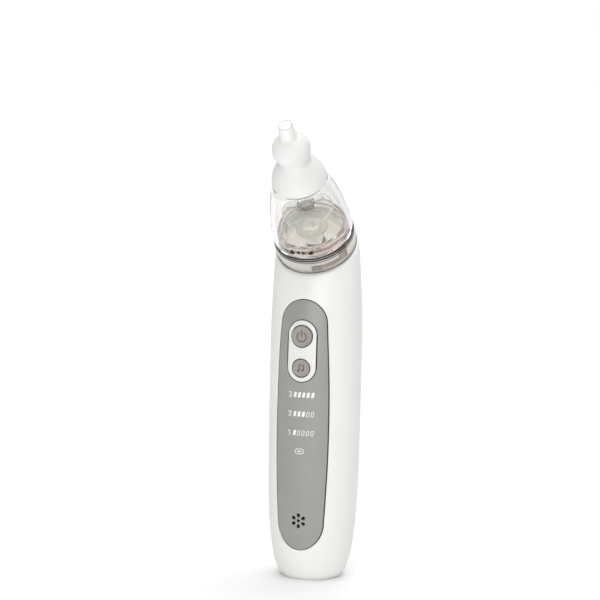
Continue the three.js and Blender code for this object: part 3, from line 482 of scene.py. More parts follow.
def ramp_colour(nodes, links, factor, dark, light, low=0.35, high=0.65):
    ramp = nodes.new("ShaderNodeValToRGB")
    ramp.color_ramp.elements[0].position = low
    ramp.color_ramp.elements[0].color = dark
    ramp.color_ramp.elements[1].position = high
    ramp.color_ramp.elements[1].color = light
    links.new(factor, ramp.inputs["Fac"])
    return ramp.outputs["Color"]


def ramp_value(nodes, links, factor, low, high):
    spread = add_node(nodes, "MapRange", From_Min=0.3, From_Max=0.7, To_Min=low, To_Max=high)
    links.new(factor, spread.inputs["Value"])
    return spread.outputs["Result"]


def add_bump(nodes, links, shader, factor, strength, distance):
    bump = add_node(nodes, "Bump", Strength=strength, Distance=distance * MM)
    links.new(factor, bump.inputs["Height"])
    links.new(bump.outputs["Normal"], shader.inputs["Normal"])


def darker(colour, amount):
    return tuple(channel * (1 - amount) for channel in colour[:3]) + (1,)


def finish_shader(nodes, links, shader, colour, roughness, bump):
    """Links the colour, the roughness (texture, low, high) and the bump (texture, strength, depth)."""
    links.new(colour, shader.inputs["Base Color"])
    links.new(ramp_value(nodes, links, *roughness), shader.inputs["Roughness"])
    add_bump(nodes, links, shader, *bump)


def moulded(name, colour, roughness=(0.28, 0.38), grain=2200, bump=0.12, tone=0.03, **values):
    """Moulded plastic or rubber: a fine grain, cloudy gloss and a faint change of tone."""
    material, nodes, links, shader = new_material(name, **values)
    clouds = noise(nodes, links, 70, 2)
    fine = noise(nodes, links, grain, 4)
    toned = ramp_colour(nodes, links, clouds, darker(colour, tone), colour)
    finish_shader(nodes, links, shader, toned, (clouds, *roughness), (fine, bump, 0.02))
    return material


def clear_plastic(name, tint, roughness=(0.01, 0.05)):
    """Clear polycarbonate with faint moulding ripples and handling haze."""
    material, nodes, links, shader = new_material(name, Transmission_Weight=1.0, IOR=1.36, Coat_Weight=0.2)
    ripples = noise(nodes, links, 90, 2)
    haze = noise(nodes, links, 260, 4)
    toned = ramp_colour(nodes, links, haze, darker(tint, 0.015), tint)
    finish_shader(nodes, links, shader, toned, (haze, *roughness), (ripples, 0.06, 0.05))
    return material


def metal(name, colour, roughness=(0.2, 0.35), stretch=(1, 1, 12)):
    """Drawn or turned metal with fine brushing lines."""
    material, nodes, links, shader = new_material(name, Metallic=1.0)
    lines = noise(nodes, links, 900, 5, stretch)
    toned = ramp_colour(nodes, links, lines, darker(colour, 0.15), colour)
    finish_shader(nodes, links, shader, toned, (lines, *roughness), (lines, 0.1, 0.01))
    return material


def foam(name, colour):
    """Open-cell foam or felt: coarse pits and a dull surface."""
    material, nodes, links, shader = new_material(name, Sheen_Weight=0.3)
    cells = placed_by_object(nodes, links, add_node(nodes, "TexVoronoi", Scale=1800))
    distance = cells.outputs["Distance"]
    toned = ramp_colour(nodes, links, distance, darker(colour, 0.5), colour)
    finish_shader(nodes, links, shader, toned, (distance, 0.85, 1.0), (distance, 0.6, 0.2))
    return material


def circuit_board(name):
    """Green solder mask with lighter copper traces under it."""
    material, nodes, links, shader = new_material(name, Coat_Weight=0.3)
    traces = add_node(
        nodes, "TexBrick", Scale=260, Mortar_Size=0.03,
        Color1=linear(18, 82, 52), Color2=linear(22, 92, 58), Mortar=linear(60, 140, 92),
    )
    placed_by_object(nodes, links, traces, Rotation=(math.pi / 2, 0, 0))
    lines = traces.outputs["Fac"]
    finish_shader(nodes, links, shader, traces.outputs["Color"], (lines, 0.35, 0.5), (lines, 0.3, 0.05))
    return material


WHITE = linear(235, 235, 232)
PANEL_GREY = linear(153, 152, 149)
BUTTON_TONE = linear(156, 149, 143)

white_abs = moulded("white_abs", WHITE, (0.33, 0.36), tone=0.005, bump=0.05, Specular_IOR_Level=0.35)
bezel_abs = moulded("bezel_abs", linear(226, 227, 223), (0.33, 0.38), tone=0.01, bump=0.05)
neck_abs = moulded("neck_abs", linear(242, 238, 230), (0.3, 0.4), tone=0.02)
# A weak glow in these three stands for light that soft and clear plastic passes on: the inside
# of the neck, the air column and, further down, the bore of the silicone tip
lit_abs = moulded("lit_abs", linear(240, 236, 228), (0.4, 0.5), tone=0.03,
                 Emission_Color=linear(250, 243, 234), Emission_Strength=0.36)
# Painted shade: a dark copy of the plastics for the side walls round the panel and the bezel, where the
# gaps lie in shade
seam_painted_shade = moulded("seam_painted_shade", linear(92, 86, 82), (0.5, 0.6), tone=0.05)
# Painted shade: a darker, browner copy of the neck's plastic for the bayonet grooves, which lie in shade
groove_painted_shade = moulded("groove_painted_shade", linear(184, 166, 154), (0.4, 0.5), tone=0.05)
column_haze_and_glow = moulded("column_haze_and_glow", linear(240, 238, 230), (0.2, 0.3), tone=0.04,
                      Transmission_Weight=0.6, IOR=1.25,
                      Emission_Color=linear(236, 238, 232), Emission_Strength=0.16)
panel_abs = moulded("panel_abs", PANEL_GREY, (0.34, 0.44), grain=2600, bump=0.18, tone=0.04)
button_rubber = moulded("button_rubber", BUTTON_TONE, (0.42, 0.55), grain=3000, bump=0.2, tone=0.05)
icon_ink = moulded("icon_ink", linear(104, 98, 94), (0.5, 0.6))
mark_ink = moulded("mark_ink", linear(236, 238, 238), (0.45, 0.55))
# Black serves the printed marks on the dome and the painted shade lines on the cup's skirt; grey serves
# only the painted shade lines
black_print_and_shade = moulded("black_print_and_shade", linear(16, 13, 18), (0.3, 0.4), Specular_IOR_Level=0.2)
grey_painted_shade = moulded("grey_painted_shade", linear(140, 134, 128), (0.3, 0.4))
clear_cup = clear_plastic("clear_cup", (0.978, 0.978, 0.97, 1))
baffle_haze = moulded("baffle_haze", linear(246, 246, 242), (0.06, 0.12), tone=0.03,
                      Transmission_Weight=0.75, IOR=1.22)
smoke_clear = moulded("smoke_clear", linear(196, 188, 180), (0.05, 0.1), tone=0.03,
                      Transmission_Weight=0.85, IOR=1.3)
rose_clear = clear_plastic("rose_clear", linear(240, 222, 219))
frosted = moulded(
    "frosted_silicone", linear(244, 244, 241), (0.45, 0.58), grain=1400, bump=0.1, tone=0.02,
    IOR=1.41, Transmission_Weight=0.08, Subsurface_Weight=0.6, Subsurface_Scale=0.003,
    Subsurface_Radius=(1, 1, 1), Sheen_Weight=0.1,
)
# Painted shade: darker copies of the tip's silicone for the spout's wall and for its rim
spout_shaded_silicone = moulded(
    "spout_shaded_silicone", linear(232, 232, 229), (0.5, 0.6), grain=1400, bump=0.1, tone=0.02,
    Subsurface_Weight=0.3, Subsurface_Scale=0.002, Subsurface_Radius=(1, 1, 1), Specular_IOR_Level=0.3,
)
rim_shaded_silicone = moulded(
    "rim_shaded_silicone", linear(196, 196, 192), (0.5, 0.6), grain=1400, bump=0.1, tone=0.02,
)
glowing_silicone = moulded(
    "glowing_silicone", linear(245, 245, 242), (0.45, 0.58), grain=1400, bump=0.1, tone=0.02,
    Emission_Color=linear(250, 250, 247), Emission_Strength=0.26,
)
seal_silicone = moulded("seal_silicone", linear(206, 178, 172), (0.3, 0.4), Transmission_Weight=0.4)
port_silicone = moulded("port_silicone", linear(190, 182, 174), (0.45, 0.6))
zinc = metal("zinc", linear(200, 202, 206), (0.15, 0.3))
# Painted shade: the black of the sheet that darkens the gaps round the panel
painted_gap_shade = foam("painted_gap_shade", linear(20, 19, 20))

# What the CAD solids wear, by material slot
SLOT_MATERIALS = {
    "white_shell": white_abs,
    "grey_panel": panel_abs,
    "button_silicone": port_silicone,
    "clear_cup": clear_cup,
    "frosted_silicone": moulded(
        "hose_silicone", linear(232, 232, 226), (0.4, 0.5),
        Subsurface_Weight=0.2, Subsurface_Scale=0.002, Subsurface_Radius=(1, 1, 1),
    ),
    "seal_silicone": seal_silicone,
    "filter_felt": foam("felt", linear(236, 234, 226)),
    "black_rubber": moulded("black_rubber", linear(38, 38, 40), (0.55, 0.7), bump=0.3),
    "dark_plastic": moulded("dark_nylon", linear(62, 63, 66), (0.4, 0.55), bump=0.3, tone=0.1),
    "natural_plastic": moulded("natural_acetal", linear(228, 226, 216), (0.35, 0.5), tone=0.05),
    "steel": metal("steel", linear(186, 188, 190)),
    "screw_steel": zinc,
    "circuit_board": circuit_board("green_board"),
    "light_lens": moulded("light_resin", linear(242, 240, 226), (0.15, 0.25), Transmission_Weight=0.5),
    "battery_wrap": moulded("battery_wrap", linear(58, 108, 172), (0.25, 0.35), tone=0.12),
    "foam": foam("dark_foam", linear(72, 72, 74)),
    "red_wire": moulded("red_pvc", linear(176, 44, 36), (0.35, 0.5), tone=0.1),
    "black_wire": moulded("black_pvc", linear(34, 34, 38), (0.35, 0.5), tone=0.1),
}


# ---- Handle pieces ----

def seam_outline():
    """Outline of the handle in the plane where the two shells meet, as (x, z) points."""
    right = []
    for z in body_levels(0, MOUTH.z, 70):
        along = bend_amount(z)
        radius = body_radius(z)
        sine = (SPLIT_Y + along ** 2 * -MOUTH.y) / (radius * (1 - along ** 2 * (1 - math.cos(TILT))))
        x = radius * math.sqrt(1 - sine ** 2)
        right.append((x, z + along * radius * sine * math.sin(TILT)))
    left = [(-x, z) for x, z in reversed(right)]
    return right + left


def seam_groove(width=0.26):
    """A square rod laid along the seam on its edge, which cuts a V-shaped groove."""
    outline = seam_outline()
    count = len(outline)
    rings = []
    for i, (x, z) in enumerate(outline):
        before, after = outline[i - 1], outline[(i + 1) % count]
        along = Vector((after[0] - before[0], after[1] - before[1])).normalized()
        out = Vector((along.y, 0, -along.x)) * width
        here = Vector((x, SPLIT_Y, z))
        side = Vector((0, width, 0))
        rings.append([here + out, here + side, here - out, here - side])
    rings.append(rings[0])
    bm = loft(rings, close_ends=False)
    bmesh.ops.remove_doubles(bm, verts=bm.verts, dist=1e-5)
    return to_object("tool", bm)


def button_tools(clearance):
    return [
        cylinder(button["radius"] + clearance, *FRONT_CUT, 96, facing_front(button["z"]))
        for button in (POWER, MUSIC)
    ]


PETAL = {"place": 2.4, "half_length": 0.95, "half_width": 0.74, "flare": 0.25}
SPEAKER_HOLE = 0.7


def petal_tool(angle):
    """Teardrop hole that points at the middle of the speaker."""
    outline = []
    for i in range(24):
        turn = 2 * math.pi * i / 24
        along = PETAL["place"] + PETAL["half_length"] * math.cos(turn)
        across = PETAL["half_width"] * math.sin(turn) * (1 + PETAL["flare"] * math.cos(turn))
        x = along * math.cos(angle) - across * math.sin(angle)
        z = along * math.sin(angle) + across * math.cos(angle)
        outline.append((x, z + SPEAKER_Z))
    rings = [[Vector((x, -y, z)) for x, z in outline] for y in FRONT_CUT]
    return to_object("tool", loft(rings))


def speaker_tools():
    tools = [cylinder(SPEAKER_HOLE, *FRONT_CUT, 24, facing_front(SPEAKER_Z))]
    for i in range(PETALS):
        tools.append(petal_tool(math.pi / 2 + 2 * math.pi * i / PETALS))
    return tools


SHELL_SCREWS = [(-8.5, 8.6), (8.5, 8.6), (-11.5, 133), (11.5, 133)]
SCREW_SEAT_Y = 8
SCREW_HOLE = 2.3
SCREW_BOSS = 2.9
SCREW_PILOT = 1.25
PANEL_MIDDLE_Z = 70
CHARGE_PORT = {"z": 16, "half_width": 4.85, "corner": 2.0}
PORT_STEPS = [(10, 0), (17.6, 0), (18.6, 1.0), (24, 1.0)]
VENT = {"places": (-3, 0, 3), "half_width": 0.6, "low": 126, "high": 132}


def hollow_body():
    """The whole handle: its outside, its hollow, the hole in its mouth and the seam."""
    lip = lip_outline()
    body = body_solid("body", 0, 0, MOUTH.z - LIP_HEIGHT, 110, 192, lip)
    inside = body_solid("tool", WALL, WALL, MOUTH.z - WALL, 50, 96)
    hole = cylinder(MOUTH_HOLE_RADIUS, -6, 2, 128, TO_CUP)
    return carve(body, [inside, hole, seam_groove()])


def shell_half(body, name, low_y, high_y):
    """The part of the handle between two depths."""
    half = body.copy()
    half.data = body.data.copy()
    half.name = name
    bpy.context.scene.collection.objects.link(half)
    keep = block((-40, low_y, -10), (40, high_y, 180))
    return carve(half, [keep], "INTERSECT")


def screw_rod(place, radius, low_y, high_y):
    x, z = place
    return cylinder(radius, -high_y, -low_y, 40, facing_front(z, x))


def front_shell(body):
    shell = shell_half(body, "front_casing", -40, SPLIT_Y - GAP / 2)
    rings = pocket_rings(RECESS_DEPTH, 0.34, 0.22, 0)
    pocket = surface_solid("tool", panel_outline, PANEL_MIDDLE_Z, rings)
    tools = [pocket, *button_tools(GAP), *speaker_tools()]
    carve(shell, tools)
    finish_piece(shell, "handle", white_abs, ["front_shell"])


def port_opening():
    """Rounded slot for the charging socket, flared where it leaves the shell."""
    middle, corner = CHARGE_PORT["z"], CHARGE_PORT["corner"]
    reach = CHARGE_PORT["half_width"] - corner
    outline = []
    for i in range(48):
        angle = 2 * math.pi * i / 48
        side = reach if math.cos(angle) > 0 else -reach
        outline.append((side + corner * math.cos(angle), middle + corner * math.sin(angle)))
    rings = []
    for y, grow in PORT_STEPS:
        wider, taller = grow * 0.5, 1 + grow * 0.25
        rings.append([
            Vector((x + math.copysign(wider, x), y, middle + (z - middle) * taller))
            for x, z in outline
        ])
    return to_object("tool", loft(rings))


def rear_shell(body):
    shell = shell_half(body, "rear_casing", SPLIT_Y + GAP / 2, 40)
    tools = [screw_rod(place, SCREW_HOLE, SCREW_SEAT_Y, 26) for place in SHELL_SCREWS]
    tools.append(port_opening())
    for x in VENT["places"]:
        left, right = x - VENT["half_width"], x + VENT["half_width"]
        tools.append(block((left, 12, VENT["low"]), (right, 24, VENT["high"])))
    bosses = [screw_rod(place, SCREW_BOSS, SCREW_SEAT_Y - 1.5, 15) for place in SHELL_SCREWS]
    inside = body_solid("tool", 0.8, 0.8, MOUTH.z - WALL, 40, 96)
    for boss in bosses:
        keeper = inside.copy()
        keeper.data = inside.data.copy()
        bpy.context.scene.collection.objects.link(keeper)
        carve(boss, [keeper], "INTERSECT")
    bpy.data.objects.remove(inside)
    carve(shell, bosses, "UNION")
    tools += [screw_rod(place, SCREW_PILOT, 0, 10) for place in SHELL_SCREWS]
    carve(shell, tools)
    finish_piece(shell, "handle", white_abs, ["rear_shell"])


def below_surface(spot):
    """How far a spot near the front lies inside the handle's surface."""
    return spot.y - surface_y(spot.x, spot.z, 0)


def panel_gap_shade():
    """Painted shade: a black sheet under the panel's edge, which shows dark in the gaps round the panel.
    """
    def sheet(grow):
        return panel_outline(grow + 0.2)
    rings = plate_rings(PANEL_THICKNESS + 0.04, RECESS_DEPTH - 0.04, 0.02, steps=1, spread=20)
    backing = surface_solid("panel_gap_shade", sheet, PANEL_MIDDLE_Z, rings)
    carve(backing, button_tools(GAP))
    finish_piece(backing, "handle", painted_gap_shade)


def control_panel():
    rings = plate_rings(PANEL_INSET, PANEL_THICKNESS, 0.22, spread=20)
    panel = surface_solid("control_panel_cover", panel_outline, PANEL_MIDDLE_Z, rings)
    pocket = surface_solid("tool", stadium_outline, BEZEL["z"], pocket_rings(3, 0.3, 0.12, PANEL_INSET))
    carve(panel, [pocket, *speaker_tools()])
    # Painted shade: the panel's side wall, below the handle's surface, is dark
    paint(panel, panel_abs, seam_painted_shade, lambda spot: below_surface(spot) > 0.13, Matrix.Identity(4))
    finish_piece(panel, "handle", panel_abs, ["control_panel"])


def button_bezel():
    rings = plate_rings(-BEZEL["proud"], PANEL_THICKNESS, 0.4, spread=16)
    bezel = surface_solid("oval_bezel", stadium_outline, BEZEL["z"], rings)
    carve(bezel, button_tools(0.42))
    # Painted shade: the bezel's side wall, below the handle's surface, is dark
    paint(bezel, bezel_abs, seam_painted_shade, lambda spot: below_surface(spot) > 0.02, Matrix.Identity(4))
    finish_piece(bezel, "handle", bezel_abs, ["button_bezel"])


# ---- Drawn marks: flat strokes and shapes that follow a surface ----

def stroke_rings(points, width, closed=False):
    """Left and right edges of a stroke with round ends along (u, v) points."""
    path = [Vector(point) for point in points]
    count = len(path)
    left, right = [], []
    for i, here in enumerate(path):
        before = path[i - 1] if i > 0 or closed else here
        after = path[(i + 1) % count] if i < count - 1 or closed else here
        along = (after - before).normalized()
        side = Vector((-along.y, along.x)) * width / 2
        left.append(here + side)
        right.append(here - side)
    if closed:
        return left, right
    start_turn = (path[1] - path[0]).normalized()
    end_turn = (path[-1] - path[-2]).normalized()
    start_cap = half_circle(path[0], -start_turn, width / 2)
    end_cap = half_circle(path[-1], end_turn, width / 2)
    return left + end_cap + right[::-1] + start_cap, None


def half_circle(centre, out, radius, steps=6):
    side = Vector((-out.y, out.x))
    points = []
    for i in range(1, steps):
        angle = math.pi * i / steps
        points.append(centre + (side * math.cos(angle) + out * math.sin(angle)) * radius)
    return points


def flat_shape(bm, outline, hole, mapping, low, high):
    """Adds a thin solid over the (u, v) outline; mapping(u, v, depth) places each point."""
    if hole is None:
        tops = [bm.verts.new(mapping(point.x, point.y, high)) for point in outline]
        feet = [bm.verts.new(mapping(point.x, point.y, low)) for point in outline]
        count = len(outline)
        for i in range(count):
            j = (i + 1) % count
            bm.faces.new((tops[i], tops[j], feet[j], feet[i]))
        bm.faces.new(tops)
        bm.faces.new(feet)
        return
    loops = [
        [bm.verts.new(mapping(point.x, point.y, depth)) for point in edge]
        for edge, depth in ((outline, high), (hole, high), (hole, low), (outline, low))
    ]
    count = len(outline)
    for first, second in zip(loops, loops[1:] + loops[:1]):
        for i in range(count):
            j = (i + 1) % count
            bm.faces.new((first[i], first[j], second[j], second[i]))


def arc(centre, radius, start, end, steps=24):
    """Points of an arc, its angles in degrees."""
    points = []
    for i in range(steps + 1):
        angle = math.radians(start + (end - start) * i / steps)
        points.append((centre[0] + radius * math.cos(angle), centre[1] + radius * math.sin(angle)))
    return points


def drawn(name, strokes, mapping, low, high, filled=()):
    """One piece made of strokes (points, width, closed) and filled outlines."""
    bm = bmesh.new()
    for points, width, closed in strokes:
        outline, hole = stroke_rings(points, width, closed)
        flat_shape(bm, outline, hole, mapping, low, high)
    for outline in filled:
        flat_shape(bm, [Vector(point) for point in outline], None, mapping, low, high)
    return to_object(name, bm)


def on_panel(u, v, depth):
    """Places mark coordinates on the control panel, depth above its surface."""
    return Vector((u, surface_y(u, v, PANEL_INSET - depth), v))


def on_button(u, v, depth):
    return Vector((u, -depth, v))


def dome_radius(height):
    """Outer radius of the dome from its open edge up to the ledge under the bell."""
    along = (height - DOME_BOTTOM) / (LEDGE_HEIGHT - DOME_BOTTOM)
    return CUP_RADIUS - 2 * along - 3.75 * max(along, 0) ** 2.6


def on_dome(u, v, depth):
    """Places mark coordinates round the dome: u along its girth from the front, v up its axis."""
    angle = u / CUP_RADIUS - math.pi / 2
    radius = dome_radius(v) + depth
    return TO_CUP @ Vector((radius * math.cos(angle), radius * math.sin(angle), v))


# Signs of a rectangle's four corners, anticlockwise from the upper right
CORNER_SIGNS = [(1, 1), (-1, 1), (-1, -1), (1, -1)]


def ellipse(centre, half_width, half_height, count=16):
    points = []
    for i in range(count):
        angle = 2 * math.pi * i / count
        x = centre[0] + half_width * math.cos(angle)
        points.append((x, centre[1] + half_height * math.sin(angle)))
    return points


def capsule(centre, half_width, half_height, steps=8):
    """Points round a capsule shape."""
    straight = half_width - half_height
    right = arc((centre[0] + straight, centre[1]), half_height, -90, 90, steps)
    left = arc((centre[0] - straight, centre[1]), half_height, 90, 270, steps)
    return right + left


def upright_bar(centre, half_width, half_height):
    """Points round a bar with rounded corners that leans a little to the right."""
    corner = 0.3
    lean = 0.18
    points = []
    for k, (sx, sy) in enumerate(CORNER_SIGNS):
        middle = (
            centre[0] + sx * (half_width - corner) + lean * sy,
            centre[1] + sy * (half_height - corner),
        )
        points += arc(middle, corner, 90 * k, 90 * k + 90, 4)
    return points


DIGITS = {
    1: [[(-0.35, 0.55), (0.1, 1.1), (0.1, -1.1)]],
    2: [[*arc((0, 0.45), 0.62, 165, -35, 12), (-0.62, -1.05), (0.7, -1.05)]],
    3: [[*arc((0, 0.5), 0.55, 150, -90, 12), *arc((0, -0.52), 0.58, 90, -150, 12)]],
}


MARK_DEPTHS = (-0.02, 0.03)
BARS = {"count": 5, "first": -2.4, "step": 1.95}
NUMERAL_X = 4.9


def level_marks():
    """A number and a row of bars for each suction level; more bars are filled at higher levels."""
    stroke = 0.36
    for level, z in LEVEL_Z.items():
        strokes = [
            ([(x - NUMERAL_X, y + z) for x, y in line], stroke, False)
            for line in DIGITS[level]
        ]
        filled = []
        for i in range(BARS["count"]):
            centre = (BARS["first"] + i * BARS["step"], z)
            if i < 2 * level - 1:
                filled.append(upright_bar(centre, 0.6, 1.15))
            else:
                strokes.append((upright_bar(centre, 0.48, 1.03), 0.24, True))
        marks = drawn(f"level_{level}_marks", strokes, on_panel, *MARK_DEPTHS, filled)
        finish_piece(marks, "handle", mark_ink)


def charge_mark():
    """Battery symbol: a capsule outline with a bar in it."""
    strokes = [
        (capsule((0, CHARGE_Z), 1.95, 1.05), 0.3, True),
        ([(-0.8, CHARGE_Z), (0.8, CHARGE_Z)], 0.42, False),
    ]
    mark = drawn("charge_marks", strokes, on_panel, *MARK_DEPTHS)
    finish_piece(mark, "handle", mark_ink)


def power_symbol(width):
    centre_z = POWER["z"]
    return [
        (arc((0, centre_z - 0.25), 2.05, 122, 418, 36), width, False),
        ([(0, centre_z), (0, centre_z + 2.5)], width, False),
    ]


def note_symbol(width):
    """Two joined quavers."""
    z = MUSIC["z"]
    return [
        ([(-0.8, z - 1.15), (-0.8, z + 1.35), (1.15, z + 1.35), (1.15, z - 0.85)], width, False),
    ]


def note_heads(grow):
    z = MUSIC["z"]
    return [ellipse(centre, 0.55 + grow, 0.42 + grow) for centre in ((-1.2, z - 1.2), (0.75, z - 0.9))]


DISH_DEPTH = 0.22
SYMBOL_STROKE = 0.5
SYMBOL_GROOVE = 0.58


def push_button(name, button, strokes, heads, replaced, body):
    """Button with a raised rim, a shallow dish and its symbol sunk into the dish."""
    radius = button["radius"]
    dish = BUTTON_TOP - DISH_DEPTH
    outline = rounded([
        (0, BUTTON_FOOT, 0),
        (radius, BUTTON_FOOT, 0.1),
        (radius, BUTTON_TOP, 0.45),
        (radius - 0.75, BUTTON_TOP, 0.25),
        (radius - 1.1, dish + 0.05, 0.3),
        (0, dish - 0.08, 0),
    ])
    cap = turned_object(name, outline, 96, facing_front(button["z"]))
    bottom = dish - 0.32
    for stroke in strokes(SYMBOL_GROOVE):
        carve(cap, [drawn("tool", [stroke], on_button, bottom, dish + 1)])
    for head in heads(0.03):
        carve(cap, [drawn("tool", [], on_button, bottom, dish + 1, [head])])
    finish_piece(cap, body, button_rubber, [replaced])
    ink_depths = (dish - 0.31, dish - 0.2)
    ink = drawn(f"{name}_symbol", strokes(SYMBOL_STROKE), on_button, *ink_depths, heads(0))
    finish_piece(ink, body, icon_ink)


def no_heads(_grow):
    return []


def band_marks():
    """Closed lock, two arrows and open lock round the dome's lower edge, with three dots."""
    level = 12.9
    strokes = []
    filled = [
        [(-2.2, level), (-0.5, level + 1.05), (-0.5, level - 1.05)],
        [(2.3, level), (0.6, level + 1.05), (0.6, level - 1.05)],
    ]
    for centre, lean in ((-4.2, 0.0), (4.4, 0.75)):
        filled.append(capsule((centre, level - 0.4), 1.05, 0.75))
        shackle = arc((centre + lean, level + 0.4), 0.56, 180, 0, 10)
        legs = [(centre + lean - 0.56, level)], [(centre + lean + 0.56, level + 0.2)]
        strokes.append((legs[0] + shackle + legs[1], 0.36, False))
    for centre in (-7.6, 8.0):
        for i in range(3):
            strokes.append((arc((centre - 0.95 + 0.95 * i, level), 0.01, 0, 180, 2), 0.46, False))
    marks = drawn("band_lock_marks", strokes, on_dome, *MARK_DEPTHS, filled)
    finish_piece(marks, "dome", black_print_and_shade)


# ---- Neck and cup ----

def bayonet_neck():
    """Ring on the handle's mouth with the three bayonet grooves and the air port in its floor."""
    outline = rounded([
        (AIR_PORT["bore"], AIR_PORT["foot"], 0),
        (AIR_PORT["outer"], AIR_PORT["foot"], 0.2),
        (AIR_PORT["outer"], GAP, 0.3),
        (NECK_COLLAR["inner"], GAP, 0.3),
        (NECK_COLLAR["inner"], NECK_COLLAR["foot"], 0.2),
        (NECK_COLLAR["outer"], NECK_COLLAR["foot"], 0.2),
        (NECK_COLLAR["outer"], GAP, 0.2),
        (NECK_RADIUS, GAP, 0.2),
        (NECK_RADIUS, NECK_TOP, 0.5),
        (NECK_INNER, NECK_TOP, 0.4),
        (NECK_INNER, NECK_FLOOR, 0.6),
        (AIR_PORT["bore"], NECK_FLOOR, 0),
    ])
    neck = turned_object("neck_ring", outline, 144, TO_CUP)
    floor = NECK_RADIUS - GROOVE_DEPTH
    slack = LUG_HALF_ANGLE + 1
    tools = []
    for lug in LUG_ANGLES:
        opened = lug + TWIST_ANGLE
        tools.append(sector(floor, 17, lug - slack, opened + slack, 0.9, 3.7, TO_CUP))
        tools.append(sector(floor, 17, opened - slack, opened + slack, 3.3, NECK_TOP + 1, TO_CUP))
    carve(neck, tools)
    # Painted shade: the bayonet grooves are darker than the rest of the neck
    paint(neck, neck_abs, groove_painted_shade, lambda spot: (
        floor - 0.1 < spot.xy.length < NECK_RADIUS - 0.05 and 0.8 < spot.z < NECK_TOP - 0.6
    ))
    paint(neck, neck_abs, lit_abs, lambda spot: spot.xy.length < NECK_INNER + 0.1 and spot.z > 1.2)
    finish_piece(neck, "handle", neck_abs, ["bayonet_neck"])


def port_seal():
    """Soft ring with rounded lips between the neck's air port and the floor of the well."""
    inner, outer = PORT_SEAL["inner"], PORT_SEAL["outer"]
    low, high = PORT_SEAL["low"], PORT_SEAL["high"]
    outline = rounded([
        (inner, low, 0.2), (outer, low, 0.3), (outer, high, 0.3), (3.8, high, 0.1),
        (3.6, 2.7, 0.1), (3.3, 2.7, 0.1), (3.1, high, 0.1), (inner, high, 0.2),
    ])
    ring = turned_object("neck_sleeve", outline, 96, TO_CUP)
    finish_piece(ring, "handle", port_silicone, ["port_seal"])


def cup_base():
    """Clear base: the well, the skirt with two fine grooves, the spigot for the dome, the lugs."""
    groove = CUP_RADIUS - 0.4
    outline = rounded([
        (0, WELL["under"], 0),
        (WELL["outer"], WELL["under"], 0.8),
        (WELL["outer"], SKIRT["shelf"], 0.3),
        (SKIRT["inner"], SKIRT["shelf"], 0.4),
        (SKIRT["inner"], SKIRT["foot"], 0.1),
        (groove + 0.2, SKIRT["foot"], 0.3),
        (CUP_RADIUS - 0.1, 6.4, 0.15),
        (groove, 6.55, 0.1),
        (groove, 6.75, 0.1),
        (CUP_RADIUS, 6.9, 0.2),
        (CUP_RADIUS, 7.75, 0.2),
        (groove, 7.9, 0.1),
        (groove, 8.1, 0.1),
        (CUP_RADIUS, 8.25, 0.2),
        (CUP_RADIUS, JOINT_HEIGHT, 0.25),
        (SPIGOT["outer"], JOINT_HEIGHT, 0.2),
        (SPIGOT["outer"], 10.9, 0.1),
        (SPIGOT["groove"], 10.9, 0.15),
        (SPIGOT["groove"], 12.3, 0.15),
        (SPIGOT["outer"], 12.3, 0.1),
        (SPIGOT["outer"], SPIGOT["top"], 0.4),
        (SPIGOT["inner"], SPIGOT["top"], 0.4),
        (SPIGOT["inner"], WELL["top"], 0.4),
        (WELL["inner"], WELL["top"], 0.5),
        (WELL["inner"], WELL["floor"], 0.9),
        (0, WELL["floor"], 0),
    ])
    base = turned_object("clear_cup_base", outline, 144, TO_CUP)
    lugs = []
    for angle in LUG_ANGLES:
        start, end = angle - LUG_HALF_ANGLE, angle + LUG_HALF_ANGLE
        lugs.append(sector(15.1, 16.85, start, end, 1.3, 3.3, TO_CUP))
    carve(base, lugs, "UNION")
    carve(base, [cylinder(AIR_BORE, 2, 6, 48, TO_CUP)])
    paint(base, clear_cup, rose_clear, lambda spot: (
        spot.z > JOINT_HEIGHT + 0.05 and spot.xy.length > SPIGOT["inner"] + 0.1
    ))
    finish_piece(base, "cup", clear_cup, ["cup_base", "cup_well"])


def air_column():
    """Square post in the middle of the well, with a collar just under its mouth."""
    post = square_post(COLUMN["half"], COLUMN["corner"], COLUMN["foot"], COLUMN["top"])
    post.name = post.data.name = "clear_air_column"
    radius, low, high = COLLAR["radius"], COLLAR["low"], COLLAR["high"]
    collar = rounded([(0, low, 0), (radius, low, 0.4), (radius, high, 0.4), (0, high, 0)])
    carve(post, [turned_object("tool", collar, 128, TO_CUP)], "UNION")
    carve(post, [cylinder(AIR_BORE, 2, COLUMN["top"] + 1, 48, TO_CUP)])
    # Painted light: the post's frosted material also glows faintly
    paint(post, column_haze_and_glow, baffle_haze, lambda spot: spot.xy.length > 5)
    finish_piece(post, "cup", column_haze_and_glow, ["air_column"])


def square_post(half, corner, low, high):
    """Square post with rounded corners and a softened top edge, in the cup's frame."""
    edge = 0.35
    rings = []
    for shrink, height in ((0, low), (0, high - edge), (edge * 0.3, high - edge * 0.3), (edge, high)):
        ring = []
        for k, (sx, sy) in enumerate(CORNER_SIGNS):
            middle = (sx * (half - corner), sy * (half - corner))
            for x, y in arc(middle, corner - shrink, 90 * k, 90 * k + 90, 5):
                ring.append(TO_CUP @ Vector((x, y, height)))
        rings.append(ring)
    return to_object("tool", loft(rings))


# Painted shade: heights, widths and tones of the dark lines drawn round the cup's skirt
SKIRT_LINES = [
    {"height": 8.97, "width": 0.46, "tone": "black"},
    {"height": 7.75, "width": 0.46, "tone": "black"},
    {"height": 6.6, "width": 0.22, "tone": "grey"},
    {"height": 0.75, "width": 0.3, "tone": "grey"},
]


